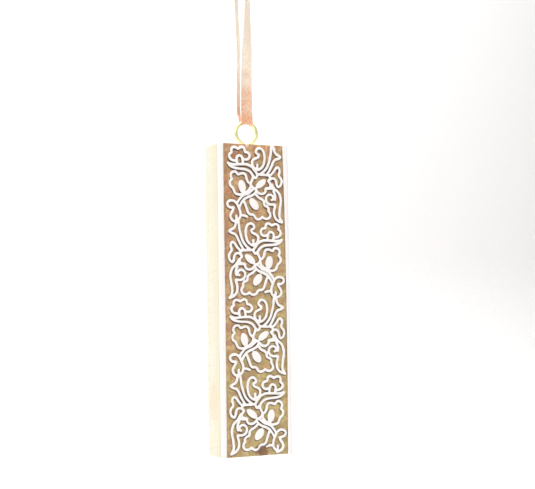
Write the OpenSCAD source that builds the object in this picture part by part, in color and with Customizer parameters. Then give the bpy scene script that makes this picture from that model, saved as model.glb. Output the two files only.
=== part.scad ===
// Slim wooden case that hangs from a ribbon, with a carved front and a sliding back cover.
// The origin is where a nail holds the ribbon loop. +Z is up and the carved front faces -Y.

/* [Case] */
// Width of the case over both side rails
case_w = 28.2; // [23:0.1:36]
// Height of the case
case_h = 115; // [92:1:150]
// Depth of the case from the carved front to the back
case_d = 13.5; // [12.5:0.1:18]

/* [Carved front] */
// Thickness of the front board, with its relief
board_t = 1.8; // [1.4:0.1:2.4]
// Height of the carved lines over the ground
relief_h = 0.9; // [0.5:0.1:1]
// Width of the plain rim down the left edge
left_rim_w = 1.6; // [1:0.05:3]
// Width of the plain rim down the right edge
right_rim_w = 1.9; // [1:0.05:3]
// Bevel on the outer edge of each rim
rim_bevel = 0.4; // [0.1:0.05:0.6]
// Width of a carved line
line_w = 0.95; // [0.7:0.05:1.3]
// Number of pattern repeats, every second one mirrored
repeats = 4; // [3:1:5]
// Plain ground left below the last repeat
foot_margin = 1.8; // [0.5:0.1:4]
// Plain ground left between the left rim and the pattern
side_margin = 0.5; // [0:0.1:1]

/* [Rails and blocks] */
// Thickness of each side rail
rail_w = 7; // [5:0.1:8.5]
// Height of the block that closes the top
top_block_h = 14; // [12.5:0.5:20]
// Height of the block that closes the foot
bottom_block_h = 10; // [5:0.5:16]

/* [Back cover] */
// Thickness of the sliding cover
cover_t = 2.4; // [1.8:0.1:3]
// How far the cover's outer face overlaps each rail
cover_lap = 0.6; // [0.2:0.1:1.5]
// How much wider the cover's inner face is on each side
dovetail_run = 1.6; // [0.8:0.1:2.4]
// Play between the cover and its slot
slide_play = 0.15; // [0.1:0.05:0.3]
// Width of the thumb scoop
scoop_w = 9; // [6:0.5:12]
// Depth of the thumb scoop
scoop_depth = 0.9; // [0.5:0.1:1.2]
// Height of the scoop's middle above the foot
scoop_rise = 9; // [6:0.5:16]

/* [Screw eye] */
// Radius of the ring, to the middle of its wire
eye_r = 4.2; // [3.4:0.1:5.4]
// Diameter of the eye's wire
wire_d = 1.25; // [1:0.05:1.6]
// Clear gap between the ring and the top of the case
eye_seat = 0.1; // [0.05:0.05:1]
// Clear gap between the ring and each edge of the ribbon that passes through it
eye_gap = 0.1; // [0.05:0.05:0.3]
// Length of the threaded shank in the wood
shank_l = 10; // [7:0.5:11]
// Diameter over the screw thread
thread_d = 1.9; // [1.6:0.1:2.4]
// Diameter of the thread's core, and of the pilot hole
core_d = 1.4; // [1.1:0.1:1.8]
// Distance from one thread to the next
thread_pitch = 0.9; // [0.7:0.1:1.3]

/* [Scroll] */
// Empty height above the roll in its channel
scroll_headroom = 19; // [4:1:35]
// Play between the roll and the nearest walls of its channel
scroll_play = 1.3; // [0.6:0.1:3]
// Diameter of the hollow down the middle of the roll
scroll_core_d = 2.4; // [1:0.1:3]

/* [Ribbon] */
// Width of the ribbon
ribbon_w = 4.6; // [3.6:0.1:5]
// Thickness of the ribbon
ribbon_t = 0.3; // [0.2:0.05:0.4]
// Diameter of the knot
knot_d = 7; // [6:0.1:9]
// Height of the knot
knot_h = 5; // [4:0.1:7]
// Length of each cut tail beyond the knot
tail_l = 7; // [4:0.5:10]

/* [Hidden] */
$fn = 64;

// The ribbon's bight holds the top of the ring here, which is where the case swings
pivot_z = -49;
ring_z = pivot_z - eye_r;
case_top = ring_z - eye_r - wire_d / 2 - eye_seat;
case_foot = case_top - case_h;
front_y = -case_d / 2;
board_back = front_y + board_t;
back_y = case_d / 2;
channel_w = case_w - 2 * rail_w;

// The cover's slot, from the top block's underside down and out at the foot
cover_in_y = back_y - cover_t;
cover_top = case_top - top_block_h;
slot_w_out = channel_w + 2 * cover_lap;

// The roll fills the channel but for its play and its headroom
channel_d = cover_in_y - board_back;
scroll_foot = case_foot + bottom_block_h;
scroll_l = cover_top - scroll_foot - scroll_headroom;
scroll_d = min(channel_w, channel_d) - scroll_play;

// The pattern is drawn on a repeat of this size, then stretched to its place between the rims
draft_w = 24.2;
draft_h = 28.3;
panel_left = -case_w / 2 + left_rim_w;
panel_w = case_w - left_rim_w - right_rim_w;
pattern_w = panel_w - side_margin;
pattern_x = panel_left + side_margin + pattern_w / 2;
repeat_h = (case_h - foot_margin) / repeats;
cap_sides = 6;
weld = 0.02;
// How far a cutting shape runs on past the face that it opens
clear_cut = 1;

// The ribbon's lowest point, where its bight passes under the top of the ring
bight_z = -50.75;
// Ribbon route: x, y, z of its middle, and how far its width has turned about z
ribbon_route = [
    [0.9, -0.8, 2, 46], [0.9, -0.8, 0, 44], [0.7, -0.9, -8, 36], [0.5, -1, -16, 25],
    [0.2, -1.1, -24, 10], [-0.1, -1.2, -32, 5], [-0.3, -1.4, -40, 2], [-0.4, -1.6, -45, 0],
    [-0.3, -1.75, -48, 0], [-0.2, -1.75, -49, 0], [-0.1, -1.5, -49.9, 0], [0, -0.9, -50.5, 0],
    [0, 0, bight_z, 0], [0, 0.9, -50.5, 0], [0, 1.5, -49.9, 0], [0, 1.75, -49, 0],
    [-0.1, 2.2, -48, 12], [-0.4, 3, -47, 30], [-0.9, 3.6, -46, 44], [-1.3, 3.8, -45, 52],
    [-1.3, 3.8, -40, 53], [-1.2, 3.7, -32, 53], [-1.2, 3.6, -24, 52], [-1.3, 3.5, -16, 52],
    [-1.7, 3.4, -8, 51], [-2.1, 3.2, 0, 50], [-2.1, 3.2, 2, 50]
];
// The gap that the ring leaves the ribbon, and the width that the ribbon gathers to there
ring_opening = 2 * sqrt(pow(eye_r - wire_d / 2, 2) - pow(bight_z + ribbon_t / 2 - ring_z, 2));
bight_w = min(ribbon_w, ring_opening - 2 * eye_gap);
knot_at = [-0.7, 1.2, 1 + knot_h / 2];
tail_turns = [35, 150];
tail_lift = 40;

// Middle lines of the carving in one repeat: across from the pattern's left edge, and down
small_flower = [
    [5, 6.5], [4.3, 6.2], [3.4, 6.1], [2.5, 5.6], [2, 4.7], [2.2, 3.8], [2.9, 3.2], [2.8, 2.3],
    [3.2, 1.5], [4, 1.2], [4.9, 1.4], [5.6, 1.7], [6.3, 1.3], [7.1, 1], [7.9, 1.3], [8.2, 2.1],
    [8.4, 2.8], [9.2, 2.9], [9.9, 3.4], [10.2, 4.2], [9.9, 5.1], [9.1, 5.6], [8.2, 5.6], [7.5, 5.3]
];
flower_arch = [
    [5.2, 6.9], [4.9, 5.5], [5.3, 4.6], [6.1, 4.2], [6.9, 4.6], [7.3, 5.5], [7.5, 6.9]
];
leaf_top = [
    [1.6, 7.2], [2.7, 7.5], [4, 7.6], [5.3, 7.5], [7.4, 7.4], [9, 7.4], [10.2, 7.8],
    [11.3, 8.4], [12.1, 9.4], [12.9, 10.4], [13.4, 11.2]
];
leaf_under = [
    [1.6, 7.2], [2.2, 8], [3.2, 8.6], [4.4, 8.9], [6.1, 9.1], [7.8, 9.2], [9.2, 9.5],
    [10.4, 10.2], [11.3, 11.3], [11.5, 12.3], [11.1, 13.3], [10.6, 14.4], [10.8, 15.4],
    [11.6, 16.1], [12.6, 16.4]
];
bud_back = [
    [13.4, 3.4], [12.9, 2.7], [13.2, 1.9], [14, 1.3], [14.9, 1.4], [15.7, 2], [16.2, 3.1],
    [16.4, 4.8], [16.2, 6.3], [15.8, 7.6], [14.9, 8.7], [13.8, 9.3], [12.8, 9.4]
];
bud_front = [
    [13.3, 3.3], [14, 3.7], [13.8, 4.5], [12.9, 5], [11.9, 5.5], [11.3, 6.3], [11.3, 7.3],
    [11.7, 8.2], [12.5, 9]
];
bud_tongue = [[13.3, 7.3], [13.3, 8.3], [13.1, 9.2]];
stem_left = [
    [19.4, -0.4], [19.1, 1.2], [19, 2.5], [18.8, 3.8], [18.5, 5], [18.1, 6.4], [17.5, 7.9],
    [16.7, 9.1], [15.7, 10.1], [14.6, 10.9]
];
stem_right = [
    [19.8, 0], [20.3, 1.2], [20.6, 2.3], [21.3, 3.2], [22.2, 3.6], [22.9, 4.2], [22, 4.8],
    [20.8, 5.2], [19.9, 6.2], [19.4, 7.3], [18.8, 8.5], [18.1, 9.8], [17.4, 10.8]
];
stem_band = [[13.2, 10.9], [14.8, 11.1], [16.8, 11.1], [18.3, 11.2], [18.5, 11.9], [18.4, 12.7]];
stem_fork = [[11.8, 11.8], [12.2, 12.4], [12.8, 12.3], [13.3, 11.5]];
heart_outside = [
    [17.9, 11.3], [18.7, 11.1], [19.5, 10.4], [20.2, 9.6], [20.9, 8.6], [21.6, 8.1], [22.3, 8.6],
    [22.5, 9.7], [22.1, 10.8], [22.3, 11.5], [22.9, 12.2], [23.3, 13.2], [23.1, 14.3],
    [22.6, 15.1], [21.8, 15.5], [21.3, 14.9]
];
heart_inside = [
    [18.6, 12.8], [19.1, 12.4], [19.8, 12.3], [20.5, 12.6], [21, 13.4], [21.2, 14.3], [21.4, 15.1]
];
right_flower = [
    [18.5, 12.6], [17.9, 13.3], [18.4, 13.9], [18.8, 14.7], [18.6, 15.6], [17.7, 16],
    [16.8, 16.2], [16.7, 17.1], [16.1, 17.9], [15, 18.2], [13.9, 17.9], [13.2, 17.3], [12.6, 16.6]
];
leaf_back = [
    [16.9, 16.4], [18.2, 16.3], [19.4, 16.3], [20.4, 16.5], [21.3, 17.1], [22.2, 18.1],
    [22.7, 19.4], [22.9, 20.7], [22.8, 22], [22.5, 23.4], [22.3, 25], [22.2, 26.5],
    [22.6, 27.7], [23.3, 28.7]
];
leaf_shoulder = [
    [19.2, 14.6], [19.8, 15.6], [20.4, 16.5], [19.9, 17.2], [20.4, 18.2], [20.5, 19.4], [20.3, 20.2]
];
leaf_curl = [
    [19.2, 20.4], [19.8, 19.9], [19.7, 19.1], [19, 18.5], [17.9, 18.5], [17, 19.3],
    [16.8, 20.4], [17.3, 21.5], [18.5, 22.1], [19.7, 22.1], [20.5, 22.2], [20.4, 23.1],
    [20.1, 24.2], [20, 25.3], [20.2, 26.4], [20.8, 27.4], [21.8, 28.2], [23.2, 28.7]
];
left_flower = [
    [10.4, 14.6], [10.5, 15.6], [10.1, 16.7], [9.2, 17.6], [8, 18.2], [6.6, 18.8], [5.3, 18.8],
    [4.3, 18.4], [3.8, 17.5], [3.3, 16.5], [2.4, 15.7], [2.1, 14.7], [2.4, 13.8], [2.9, 13.2],
    [2.5, 12.3], [2.6, 11.3], [3.3, 10.6], [4.3, 10.4], [5, 10.9], [5.4, 11.4], [6.2, 11.2],
    [7.1, 10.9], [8.1, 11.1], [8.7, 11.9], [8.9, 12.9], [9.4, 14], [10.3, 14.8]
];
vine_upper = [
    [12, 16.3], [10.7, 17.4], [9.8, 18.1], [8.4, 18.6], [7.2, 19.2], [6.2, 20.2], [5.4, 21.3],
    [5, 22.2]
];
vine_lower = [
    [12.9, 16.9], [12.5, 17.7], [11.9, 18.4], [10.7, 19.1], [9.2, 19.7], [7.9, 20.4],
    [7, 21.4], [6.2, 22.6], [5.8, 23.6]
];
low_flower = [
    [12.4, 18.2], [13, 18.9], [13.8, 19.6], [14.8, 20.1], [15.7, 20.8], [15.9, 21.8],
    [16.2, 22.5], [17, 22.8], [17.7, 23.5], [17.7, 24.5], [18.2, 25.3], [18.4, 26.2],
    [17.9, 27.1], [16.9, 27.5], [15.9, 27.3], [15.1, 26.9], [14.3, 27.5], [13.3, 27.7],
    [12.4, 27.3], [11.9, 26.5], [11.2, 26], [10.1, 25.9], [9.3, 25.2], [8.9, 24.1],
    [8.5, 23], [8.1, 22], [7.7, 21]
];
foot_bud_back = [
    [2.9, 23.7], [2, 23.5], [1.2, 22.8], [1.1, 21.9], [1.9, 21.2], [2.9, 21], [4, 21.3],
    [5, 22.3], [5.6, 23.5], [6.1, 24.8], [6.3, 26], [6.1, 27.1], [5.5, 28], [4.8, 28.6]
];
foot_bud_front = [
    [2.9, 23.6], [3.5, 23.7], [3.3, 24.5], [2.7, 25.4], [2.2, 26.4], [2.3, 27.4],
    [3, 28.3], [4, 28.7], [4.8, 28.9]
];
foot_bud_tongue = [[4.5, 26.7], [4.5, 27.5], [4.5, 28.6]];
foot_spur = [[6.3, 26.4], [7.5, 26.3], [8.8, 26.7]];
CARVED_LINES = [
    small_flower, flower_arch, leaf_top, leaf_under, bud_back, bud_front, bud_tongue,
    stem_left, stem_right, stem_band, stem_fork, heart_outside, heart_inside, right_flower, leaf_back,
    leaf_shoulder, leaf_curl, left_flower, vine_upper, vine_lower, low_flower,
    foot_bud_back, foot_bud_front, foot_bud_tongue, foot_spur
];
// Seeds in the flowers: across, down, half length, half width, and tilt from upright
SEEDS = [
    [14.7, 14.5, 2.5, 1.25, 52], [7, 15.7, 2.5, 1.45, -12], [11.8, 22.1, 2.5, 1.5, -38]
];

// Unit vector along v
function unit(v) = v / norm(v);

// Half a line's width, square to the line at its point i
function half_width(line, i) =
    let (
        n = len(line) - 1,
        along = unit(line[min(i + 1, n)] - line[max(i - 1, 0)])
    ) [-along.y, along.x] * line_w / 2;

// From the drafting sheet to the panel: across from the pattern's middle, and up from its top
function on_panel(p) = [
    (p.x / draft_w - 0.5) * pattern_w,
    -p.y / draft_h * repeat_h
];

// One carved line with round ends
module carved_line(line) {
    path = [for (p = line) on_panel(p)];
    for (i = [0 : len(path) - 2])
        polygon([
            path[i] + half_width(path, i),
            path[i + 1] + half_width(path, i + 1),
            path[i + 1] - half_width(path, i + 1),
            path[i] - half_width(path, i)
        ]);
    for (end = [path[0], path[len(path) - 1]])
        translate(end) circle(d = line_w, $fn = cap_sides);
}

// One seed, an upright ellipse tilted to the left by a negative tilt
module seed(s) {
    translate(on_panel([s[0], s[1]]))
        rotate(-s[4])
            scale([s[3] / s[2], 1])
                circle(r = s[2], $fn = 3 * cap_sides);
}

// One repeat of the pattern
module repeat_of_pattern() {
    for (line = CARVED_LINES) carved_line(line);
    for (s = SEEDS) seed(s);
}

// The flat shape of the ground between the rims, which is carved away around the pattern
module carved_away() {
    offset(delta = -weld)
        difference() {
            translate([panel_left, -case_h - clear_cut])
                square([panel_w, case_h + 2 * clear_cut]);
            for (k = [0 : repeats - 1])
                translate([pattern_x, -k * repeat_h])
                    mirror([k % 2, 0])
                        repeat_of_pattern();
        }
}

// A flat shape drawn in x and z, made solid from y = near to y = far
module fore_and_aft(near, far) {
    translate([0, far, 0])
        rotate([90, 0, 0])
            linear_extrude(far - near)
                children();
}

// A block between two corners
module block(low, high) {
    translate(low) cube(high - low);
}

// The front board's section before carving, with bevelled outer edges
module board_section() {
    side = case_w / 2;
    polygon([
        [-side, board_back], [-side, front_y + rim_bevel], [-side + rim_bevel, front_y],
        [side - rim_bevel, front_y], [side, front_y + rim_bevel], [side, board_back]
    ]);
}

// Half the slot's width at y, less this much play square to its slanted side
function slot_half(y, play) =
    slot_w_out / 2 + ((back_y - y) * dovetail_run - play * norm([cover_t, dovetail_run])) / cover_t;

// The cover's section, with this much play between it and its slot
module dovetail(play) {
    near = cover_in_y + play;
    polygon([
        [-slot_half(near, play), near], [slot_half(near, play), near],
        [slot_half(back_y, play), back_y], [-slot_half(back_y, play), back_y]
    ]);
}

module carved_front_board() {
    color("burlywood")
        difference() {
            translate([0, 0, case_foot])
                linear_extrude(case_h) board_section();
            translate([0, 0, case_top])
                fore_and_aft(front_y - clear_cut, front_y + relief_h) carved_away();
        }
}

// One rail, on the right, grooved for the cover from the top block down
module side_rail() {
    difference() {
        block([channel_w / 2, board_back, case_foot], [case_w / 2, back_y, case_top]);
        translate([0, 0, case_foot - clear_cut])
            linear_extrude(cover_top - case_foot + clear_cut)
                dovetail_cut();
    }
}

// The slot's section, carried on past the back
module dovetail_cut() {
    dovetail(0);
    translate([-slot_w_out / 2, back_y]) square([slot_w_out, clear_cut]);
}

module left_side_rail() {
    color("cornsilk") mirror([1, 0, 0]) side_rail();
}

module right_side_rail() {
    color("cornsilk") side_rail();
}

module top_block() {
    color("wheat")
        difference() {
            block([-channel_w / 2, board_back, cover_top], [channel_w / 2, back_y, case_top]);
            translate([0, 0, case_top - shank_l])
                cylinder(d = core_d, h = shank_l + clear_cut);
        }
}

module bottom_block() {
    color("wheat")
        block(
            [-channel_w / 2, board_back, case_foot],
            [channel_w / 2, cover_in_y, scroll_foot]
        );
}

module back_cover() {
    // Radius of the scoop, from its width and its depth
    scoop_r = (scoop_w * scoop_w / 4 + scoop_depth * scoop_depth) / (2 * scoop_depth);
    color("tan")
        difference() {
            translate([0, 0, case_foot])
                linear_extrude(cover_top - slide_play - case_foot)
                    dovetail(slide_play);
            translate([0, back_y + scoop_r - scoop_depth, case_foot + scoop_rise])
                sphere(r = scoop_r);
        }
}

// The shank, from its point up to the neck, with a ridge at every turn of the thread
module shank() {
    tip = shank_l - thread_d;
    ridges = floor((tip - thread_pitch) / thread_pitch);
    core_r = core_d / 2;
    edge_r = thread_d / 2;
    // Each flank and the crest of a ridge, in shares of the pitch
    flank = 0.4;
    crest = 0.1;
    rotate_extrude()
        polygon(concat(
            [[0, 0], [wire_d / 2, 0], [wire_d / 2, -thread_pitch]],
            [for (i = [1 : ridges]) each [
                [core_r, -i * thread_pitch],
                [edge_r, -(i + flank) * thread_pitch],
                [edge_r, -(i + flank + crest) * thread_pitch],
                [core_r, -(i + 2 * flank + crest) * thread_pitch]
            ]],
            [[core_r, -tip], [0, -shank_l]]
        ));
}

module screw_eye() {
    neck_l = eye_seat + wire_d / 2;
    color("gold") {
        translate([0, 0, ring_z])
            rotate([90, 0, 0])
                rotate_extrude()
                    translate([eye_r, 0]) circle(d = wire_d);
        translate([0, 0, case_top - thread_pitch / 2])
            cylinder(d = wire_d, h = neck_l + thread_pitch / 2);
        translate([0, 0, case_top]) shank();
    }
}

// The roll stands upright on the bottom block, in the middle of its channel
module parchment_scroll() {
    rest_gap = 0.05;
    middle_y = (board_back + cover_in_y) / 2;
    color("antiquewhite")
        translate([0, middle_y, scroll_foot + rest_gap])
            difference() {
                cylinder(d = scroll_d, h = scroll_l);
                translate([0, 0, -clear_cut])
                    cylinder(d = scroll_core_d, h = scroll_l + 2 * clear_cut);
            }
}

// The four corners of the ribbon's section at point i of its route
function ribbon_corners(i) =
    let (
        n = len(ribbon_route) - 1,
        here = [for (k = [0 : 2]) ribbon_route[i][k]],
        after = ribbon_route[min(i + 1, n)],
        before = ribbon_route[max(i - 1, 0)],
        along = unit([for (k = [0 : 2]) after[k] - before[k]]),
        turn = ribbon_route[i][3],
        across = [cos(turn), sin(turn), 0],
        square_on = unit(across - (across * along) * along),
        width = here.z < pivot_z ? bight_w : ribbon_w,
        half_w = square_on * width / 2,
        half_t = cross(along, square_on) * ribbon_t / 2
    ) [here - half_w - half_t, here + half_w - half_t, here + half_w + half_t, here - half_w + half_t];

module hanging_ribbon() {
    stations = len(ribbon_route);
    corners = [for (i = [0 : stations - 1]) each ribbon_corners(i)];
    // Two triangles for each side between two stations, and two at each end. Opposite faces are
    // split along the same diagonal, so the ribbon keeps its thickness where it twists.
    sides = [
        for (i = [0 : stations - 2]) for (k = [0 : 3])
            let (a = 4 * i + k, b = 4 * i + (k + 1) % 4)
                each (k < 2 ? [[a, b, b + 4], [a, b + 4, a + 4]] : [[a, b, a + 4], [b, b + 4, a + 4]])
    ];
    last = 4 * (stations - 1);
    ends = [[0, 2, 1], [0, 3, 2], [last, last + 1, last + 2], [last, last + 2, last + 3]];
    color("peachpuff") polyhedron(points = corners, faces = concat(sides, ends));
}

module ribbon_knot() {
    tail_root = knot_d / 4;
    color("peachpuff")
        translate(knot_at) {
            // The wrapped turn of ribbon, and the crown that the tails come out of
            rotate_extrude()
                hull() {
                    translate([(knot_d - knot_h / 2) / 2, -knot_h / 4]) circle(d = knot_h / 2);
                    translate([(knot_d - knot_h / 2) / 2, knot_h / 4]) circle(d = knot_h / 2);
                    translate([0, -knot_h / 2]) square([knot_d / 4, knot_h]);
                }
            for (turn = tail_turns)
                rotate([0, -tail_lift, turn])
                    translate([tail_root, -ribbon_w / 2, -ribbon_t / 2])
                        cube([tail_l, ribbon_w, ribbon_t]);
        }
}

carved_front_board();
left_side_rail();
right_side_rail();
top_block();
bottom_block();
back_cover();
screw_eye();
parchment_scroll();
hanging_ribbon();
ribbon_knot();
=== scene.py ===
"""Looks of a slim wooden case with a carved front that hangs from a ribbon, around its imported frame.

Every length in this file is in millimetres and becomes metres where a mesh is made. The axes are
the frame's own: +Z up, the carved front faces -Y, and the origin is where a nail holds the ribbon.
"""
from __future__ import annotations

import logging
import math
from dataclasses import dataclass, field
from enum import Enum
from typing import Iterable, Sequence, Union

import bpy
import bmesh
import numpy as np
from bpy.types import Material, Mesh, Node, NodeOutputs, NodeSocket, NodeTree, Object
from mathutils import Matrix, Vector
from mathutils.geometry import delaunay_2d_cdt


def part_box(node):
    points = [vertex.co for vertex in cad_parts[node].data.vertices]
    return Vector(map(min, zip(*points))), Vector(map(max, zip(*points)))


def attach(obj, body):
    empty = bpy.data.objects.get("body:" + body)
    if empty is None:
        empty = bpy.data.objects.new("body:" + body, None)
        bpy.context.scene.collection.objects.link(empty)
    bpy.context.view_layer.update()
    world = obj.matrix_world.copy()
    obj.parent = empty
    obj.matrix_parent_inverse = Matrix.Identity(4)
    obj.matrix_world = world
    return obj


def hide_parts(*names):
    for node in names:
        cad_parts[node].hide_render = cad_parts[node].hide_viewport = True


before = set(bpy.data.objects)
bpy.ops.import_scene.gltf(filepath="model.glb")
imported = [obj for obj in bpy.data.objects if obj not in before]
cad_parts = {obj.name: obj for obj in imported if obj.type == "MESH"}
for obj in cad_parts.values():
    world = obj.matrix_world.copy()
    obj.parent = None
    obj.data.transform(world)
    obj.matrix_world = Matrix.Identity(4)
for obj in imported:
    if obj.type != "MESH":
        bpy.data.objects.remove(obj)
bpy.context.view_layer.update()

log = logging.getLogger("mezuzah_case")

MM = 0.001
SEED = 613
# Edges that turn by more than this, in radians, are broken
SHARP_EDGE = 0.3
Point = tuple[float, float, float]
Colour = tuple[float, float, float]
Place = tuple[float, float]
Input = Union[float, Sequence[float], NodeSocket]
Inputs = dict[Union[str, int], Input]
Sockets = dict[str, NodeSocket]


class Body(Enum):
    """The moving bodies that pieces ride on."""

    RIBBON = "ribbon"
    CASE = "case"
    COVER = "cover"


class Slot(Enum):
    """The record's material slots."""

    CARVED = "carved_wood"
    PALE = "pale_wood"
    COVER = "cover_wood"
    BRASS = "eye_brass"
    PARCHMENT = "parchment"
    RIBBON = "ribbon_fabric"


class GrainRun(Enum):
    """The way the grain runs in a wooden piece."""

    UPRIGHT = (1.0, 1.0, 0.07)
    LEVEL = (0.07, 1.0, 1.0)


def node_box(node: str) -> tuple[np.ndarray, np.ndarray]:
    """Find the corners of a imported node.

    Args:
        node: The node's name in the frame.

    Returns:
        Its lowest and highest corners in millimetres.
    """
    low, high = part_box(node)
    return np.array(low) / MM, np.array(high) / MM


# --- Node trees ------------------------------------------------------------------------------


class Graph:
    """A node tree that is filled by short calls."""

    def __init__(self, tree: NodeTree) -> None:
        """Keep the tree that the calls fill."""
        self.tree = tree

    def add(self, kind: str, inputs: Inputs | None = None, **settings: object) -> Node:
        """Add one node, with its settings and inputs.

        Args:
            kind: The node's type, without its "ShaderNode" prefix.
            inputs: What each socket takes, a value or another node's output.
            **settings: The node's own properties.

        Returns:
            The new node.
        """
        node = self.tree.nodes.new("ShaderNode" + kind)
        for name, value in settings.items():
            setattr(node, name, value)
        for key, value in (inputs or {}).items():
            if isinstance(value, NodeSocket):
                self.tree.links.new(value, node.inputs[key])
            else:
                node.inputs[key].default_value = value
        return node

    def math(self, operation: str, a: Input, b: Input = 0.0) -> NodeSocket:
        """Join two values by one sum and return its result."""
        return self.add("Math", {0: a, 1: b}, operation=operation).outputs[0]

    def times(self, a: Input, b: Input) -> NodeSocket:
        """Multiply two values."""
        return self.math("MULTIPLY", a, b)

    def plus(self, a: Input, b: Input) -> NodeSocket:
        """Add two values."""
        return self.math("ADD", a, b)

    def minus(self, a: Input, b: Input) -> NodeSocket:
        """Take the second value from the first."""
        return self.math("SUBTRACT", a, b)

    def part(self, vector: Input, axis: int) -> NodeSocket:
        """Return one of the three numbers of a vector."""
        return self.add("SeparateXYZ", {0: vector}).outputs[axis]

    def mix(self, share: Input, first: Input, second: Input) -> NodeSocket:
        """Mix two colours by a share and return the result."""
        inputs = {0: share, 6: opaque(first), 7: opaque(second)}
        return self.add("Mix", inputs, data_type="RGBA").outputs[2]

    def ramp(self, value: Input, low: float, high: float, start: float = 0.0, end: float = 1.0) -> NodeSocket:
        """Stretch a value smoothly from low and high to start and end, and return it."""
        inputs = {"Value": value, "From Min": low, "From Max": high, "To Min": start, "To Max": end}
        return self.add("MapRange", inputs, interpolation_type="SMOOTHSTEP").outputs[0]

    def noise(self, vector: Input, scale: Input, detail: float = 3.0, roughness: float = 0.55) -> NodeSocket:
        """Add smooth noise, in cells per metre, and return its value."""
        inputs = {"Vector": vector, "Scale": scale, "Detail": detail, "Roughness": roughness}
        return self.add("TexNoise", inputs).outputs[0]

    def wave(self, vector: Input, waves: Inputs, way: str) -> NodeSocket:
        """Add bands that cross one direction and return their value."""
        node = self.add("TexWave", {"Vector": vector, **waves}, wave_type="BANDS", bands_direction=way)
        return node.outputs["Fac"]

    def over(self, colour: Input, mask: Input, strength: Input, tint: Input) -> NodeSocket:
        """Lay a tint over a colour where a mask is high."""
        return self.mix(self.times(mask, strength), colour, tint)

    def place(self) -> NodeSocket:
        """Return the object's own coordinates, in metres in the frame."""
        return self.add("TexCoord").outputs["Object"]

    def stretched(
        self, vector: Input, scale: Sequence[float], turn: Sequence[float] = (0.0, 0.0, 0.0)
    ) -> NodeSocket:
        """Return coordinates turned and then scaled along each axis."""
        turned = self.add("Mapping", {"Vector": vector, "Rotation": turn}).outputs[0]
        return self.add("Mapping", {"Vector": turned, "Scale": scale}).outputs[0]

    def attribute(self, name: str) -> NodeSocket:
        """Return a value that is kept on the mesh."""
        return self.add("Attribute", attribute_name=name).outputs["Fac"]


def opaque(value: Input) -> Input:
    """Give a plain colour its fourth number."""
    if isinstance(value, tuple) and len(value) == 3:
        return (*value, 1.0)
    return value


class Effect:
    """A shader node group that several finishes share, built the first time it is used."""

    title = "effect"
    takes: dict[str, float] = {}
    gives: tuple[str, ...] = ()

    @classmethod
    def tree(cls) -> NodeTree:
        """Return the group, building it once."""
        found = bpy.data.node_groups.get(cls.title)
        if found is not None:
            return found
        tree = bpy.data.node_groups.new(cls.title, "ShaderNodeTree")
        tree.interface.new_socket("Vector", in_out="INPUT", socket_type="NodeSocketVector")
        for name, default in cls.takes.items():
            socket = tree.interface.new_socket(name, in_out="INPUT", socket_type="NodeSocketFloat")
            socket.default_value = default
        for name in cls.gives:
            tree.interface.new_socket(name, in_out="OUTPUT", socket_type="NodeSocketFloat")
        graph = Graph(tree)
        source = tree.nodes.new("NodeGroupInput")
        sink = tree.nodes.new("NodeGroupOutput")
        for name, socket in cls.build(graph, source.outputs).items():
            tree.links.new(socket, sink.inputs[name])
        return tree

    @classmethod
    def build(cls, graph: Graph, given: NodeOutputs) -> Sockets:
        """Fill the group and return what each of its outputs gives."""
        raise NotImplementedError

    @classmethod
    def use(cls, graph: Graph, vector: Input, **values: float) -> NodeOutputs:
        """Place the group in a material.

        Args:
            graph: The material's graph.
            vector: The coordinates that the effect follows.
            **values: A value for each named input, with spaces as underscores.

        Returns:
            The outputs of the placed group.
        """
        node = graph.tree.nodes.new("ShaderNodeGroup")
        node.node_tree = cls.tree()
        graph.tree.links.new(vector, node.inputs["Vector"])
        for name, value in values.items():
            node.inputs[name.replace("_", " ")].default_value = value
        return node.outputs


class WoodFigure(Effect):
    """Growth bands, fine fibres and open pores, for coordinates stretched along the grain."""

    title = "wood_figure"
    takes = {"Band Scale": 260.0, "Fibre Scale": 2600.0, "Sway": 0.6}
    gives = ("Bands", "Fibres", "Pores")
    sway_scale = 90.0
    rare_scale = 700.0

    @classmethod
    def build(cls, graph: Graph, given: NodeOutputs) -> Sockets:
        """Fill the group and return what each of its outputs gives."""
        vector = given["Vector"]
        sway = graph.noise(vector, cls.sway_scale, 2.0, 0.5)
        shift = graph.times(sway, given["Sway"])
        waves = {"Scale": given["Band Scale"], "Distortion": 5.0, "Detail": 2.0, "Phase Offset": shift}
        bands = graph.wave(vector, waves, "DIAGONAL")
        fibres = graph.noise(vector, given["Fibre Scale"], 4.0, 0.5)
        cells = graph.add("TexVoronoi", {"Vector": vector, "Scale": given["Fibre Scale"]}).outputs["Distance"]
        pores = graph.ramp(cells, 0.12, 0.3, 1.0, 0.0)
        rare = graph.ramp(graph.noise(vector, cls.rare_scale), 0.5, 0.66)
        return {"Bands": bands, "Fibres": fibres, "Pores": graph.times(pores, rare)}


class Wear(Effect):
    """Broad patches, small scuffs and a fine tooth, for any finish that has been handled."""

    title = "wear"
    takes = {"Patch Scale": 60.0, "Scuff Scale": 420.0, "Tooth Scale": 5200.0}
    gives = ("Patches", "Scuffs", "Tooth")

    @classmethod
    def build(cls, graph: Graph, given: NodeOutputs) -> Sockets:
        """Fill the group and return what each of its outputs gives."""
        vector = given["Vector"]
        patches = graph.noise(vector, given["Patch Scale"], 3.0, 0.5)
        scuffs = graph.noise(vector, given["Scuff Scale"], 5.0, 0.7)
        tooth = graph.noise(vector, given["Tooth Scale"], 2.0, 0.5)
        return {
            "Patches": graph.ramp(patches, 0.38, 0.64),
            "Scuffs": graph.ramp(scuffs, 0.55, 0.72),
            "Tooth": tooth,
        }


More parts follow.
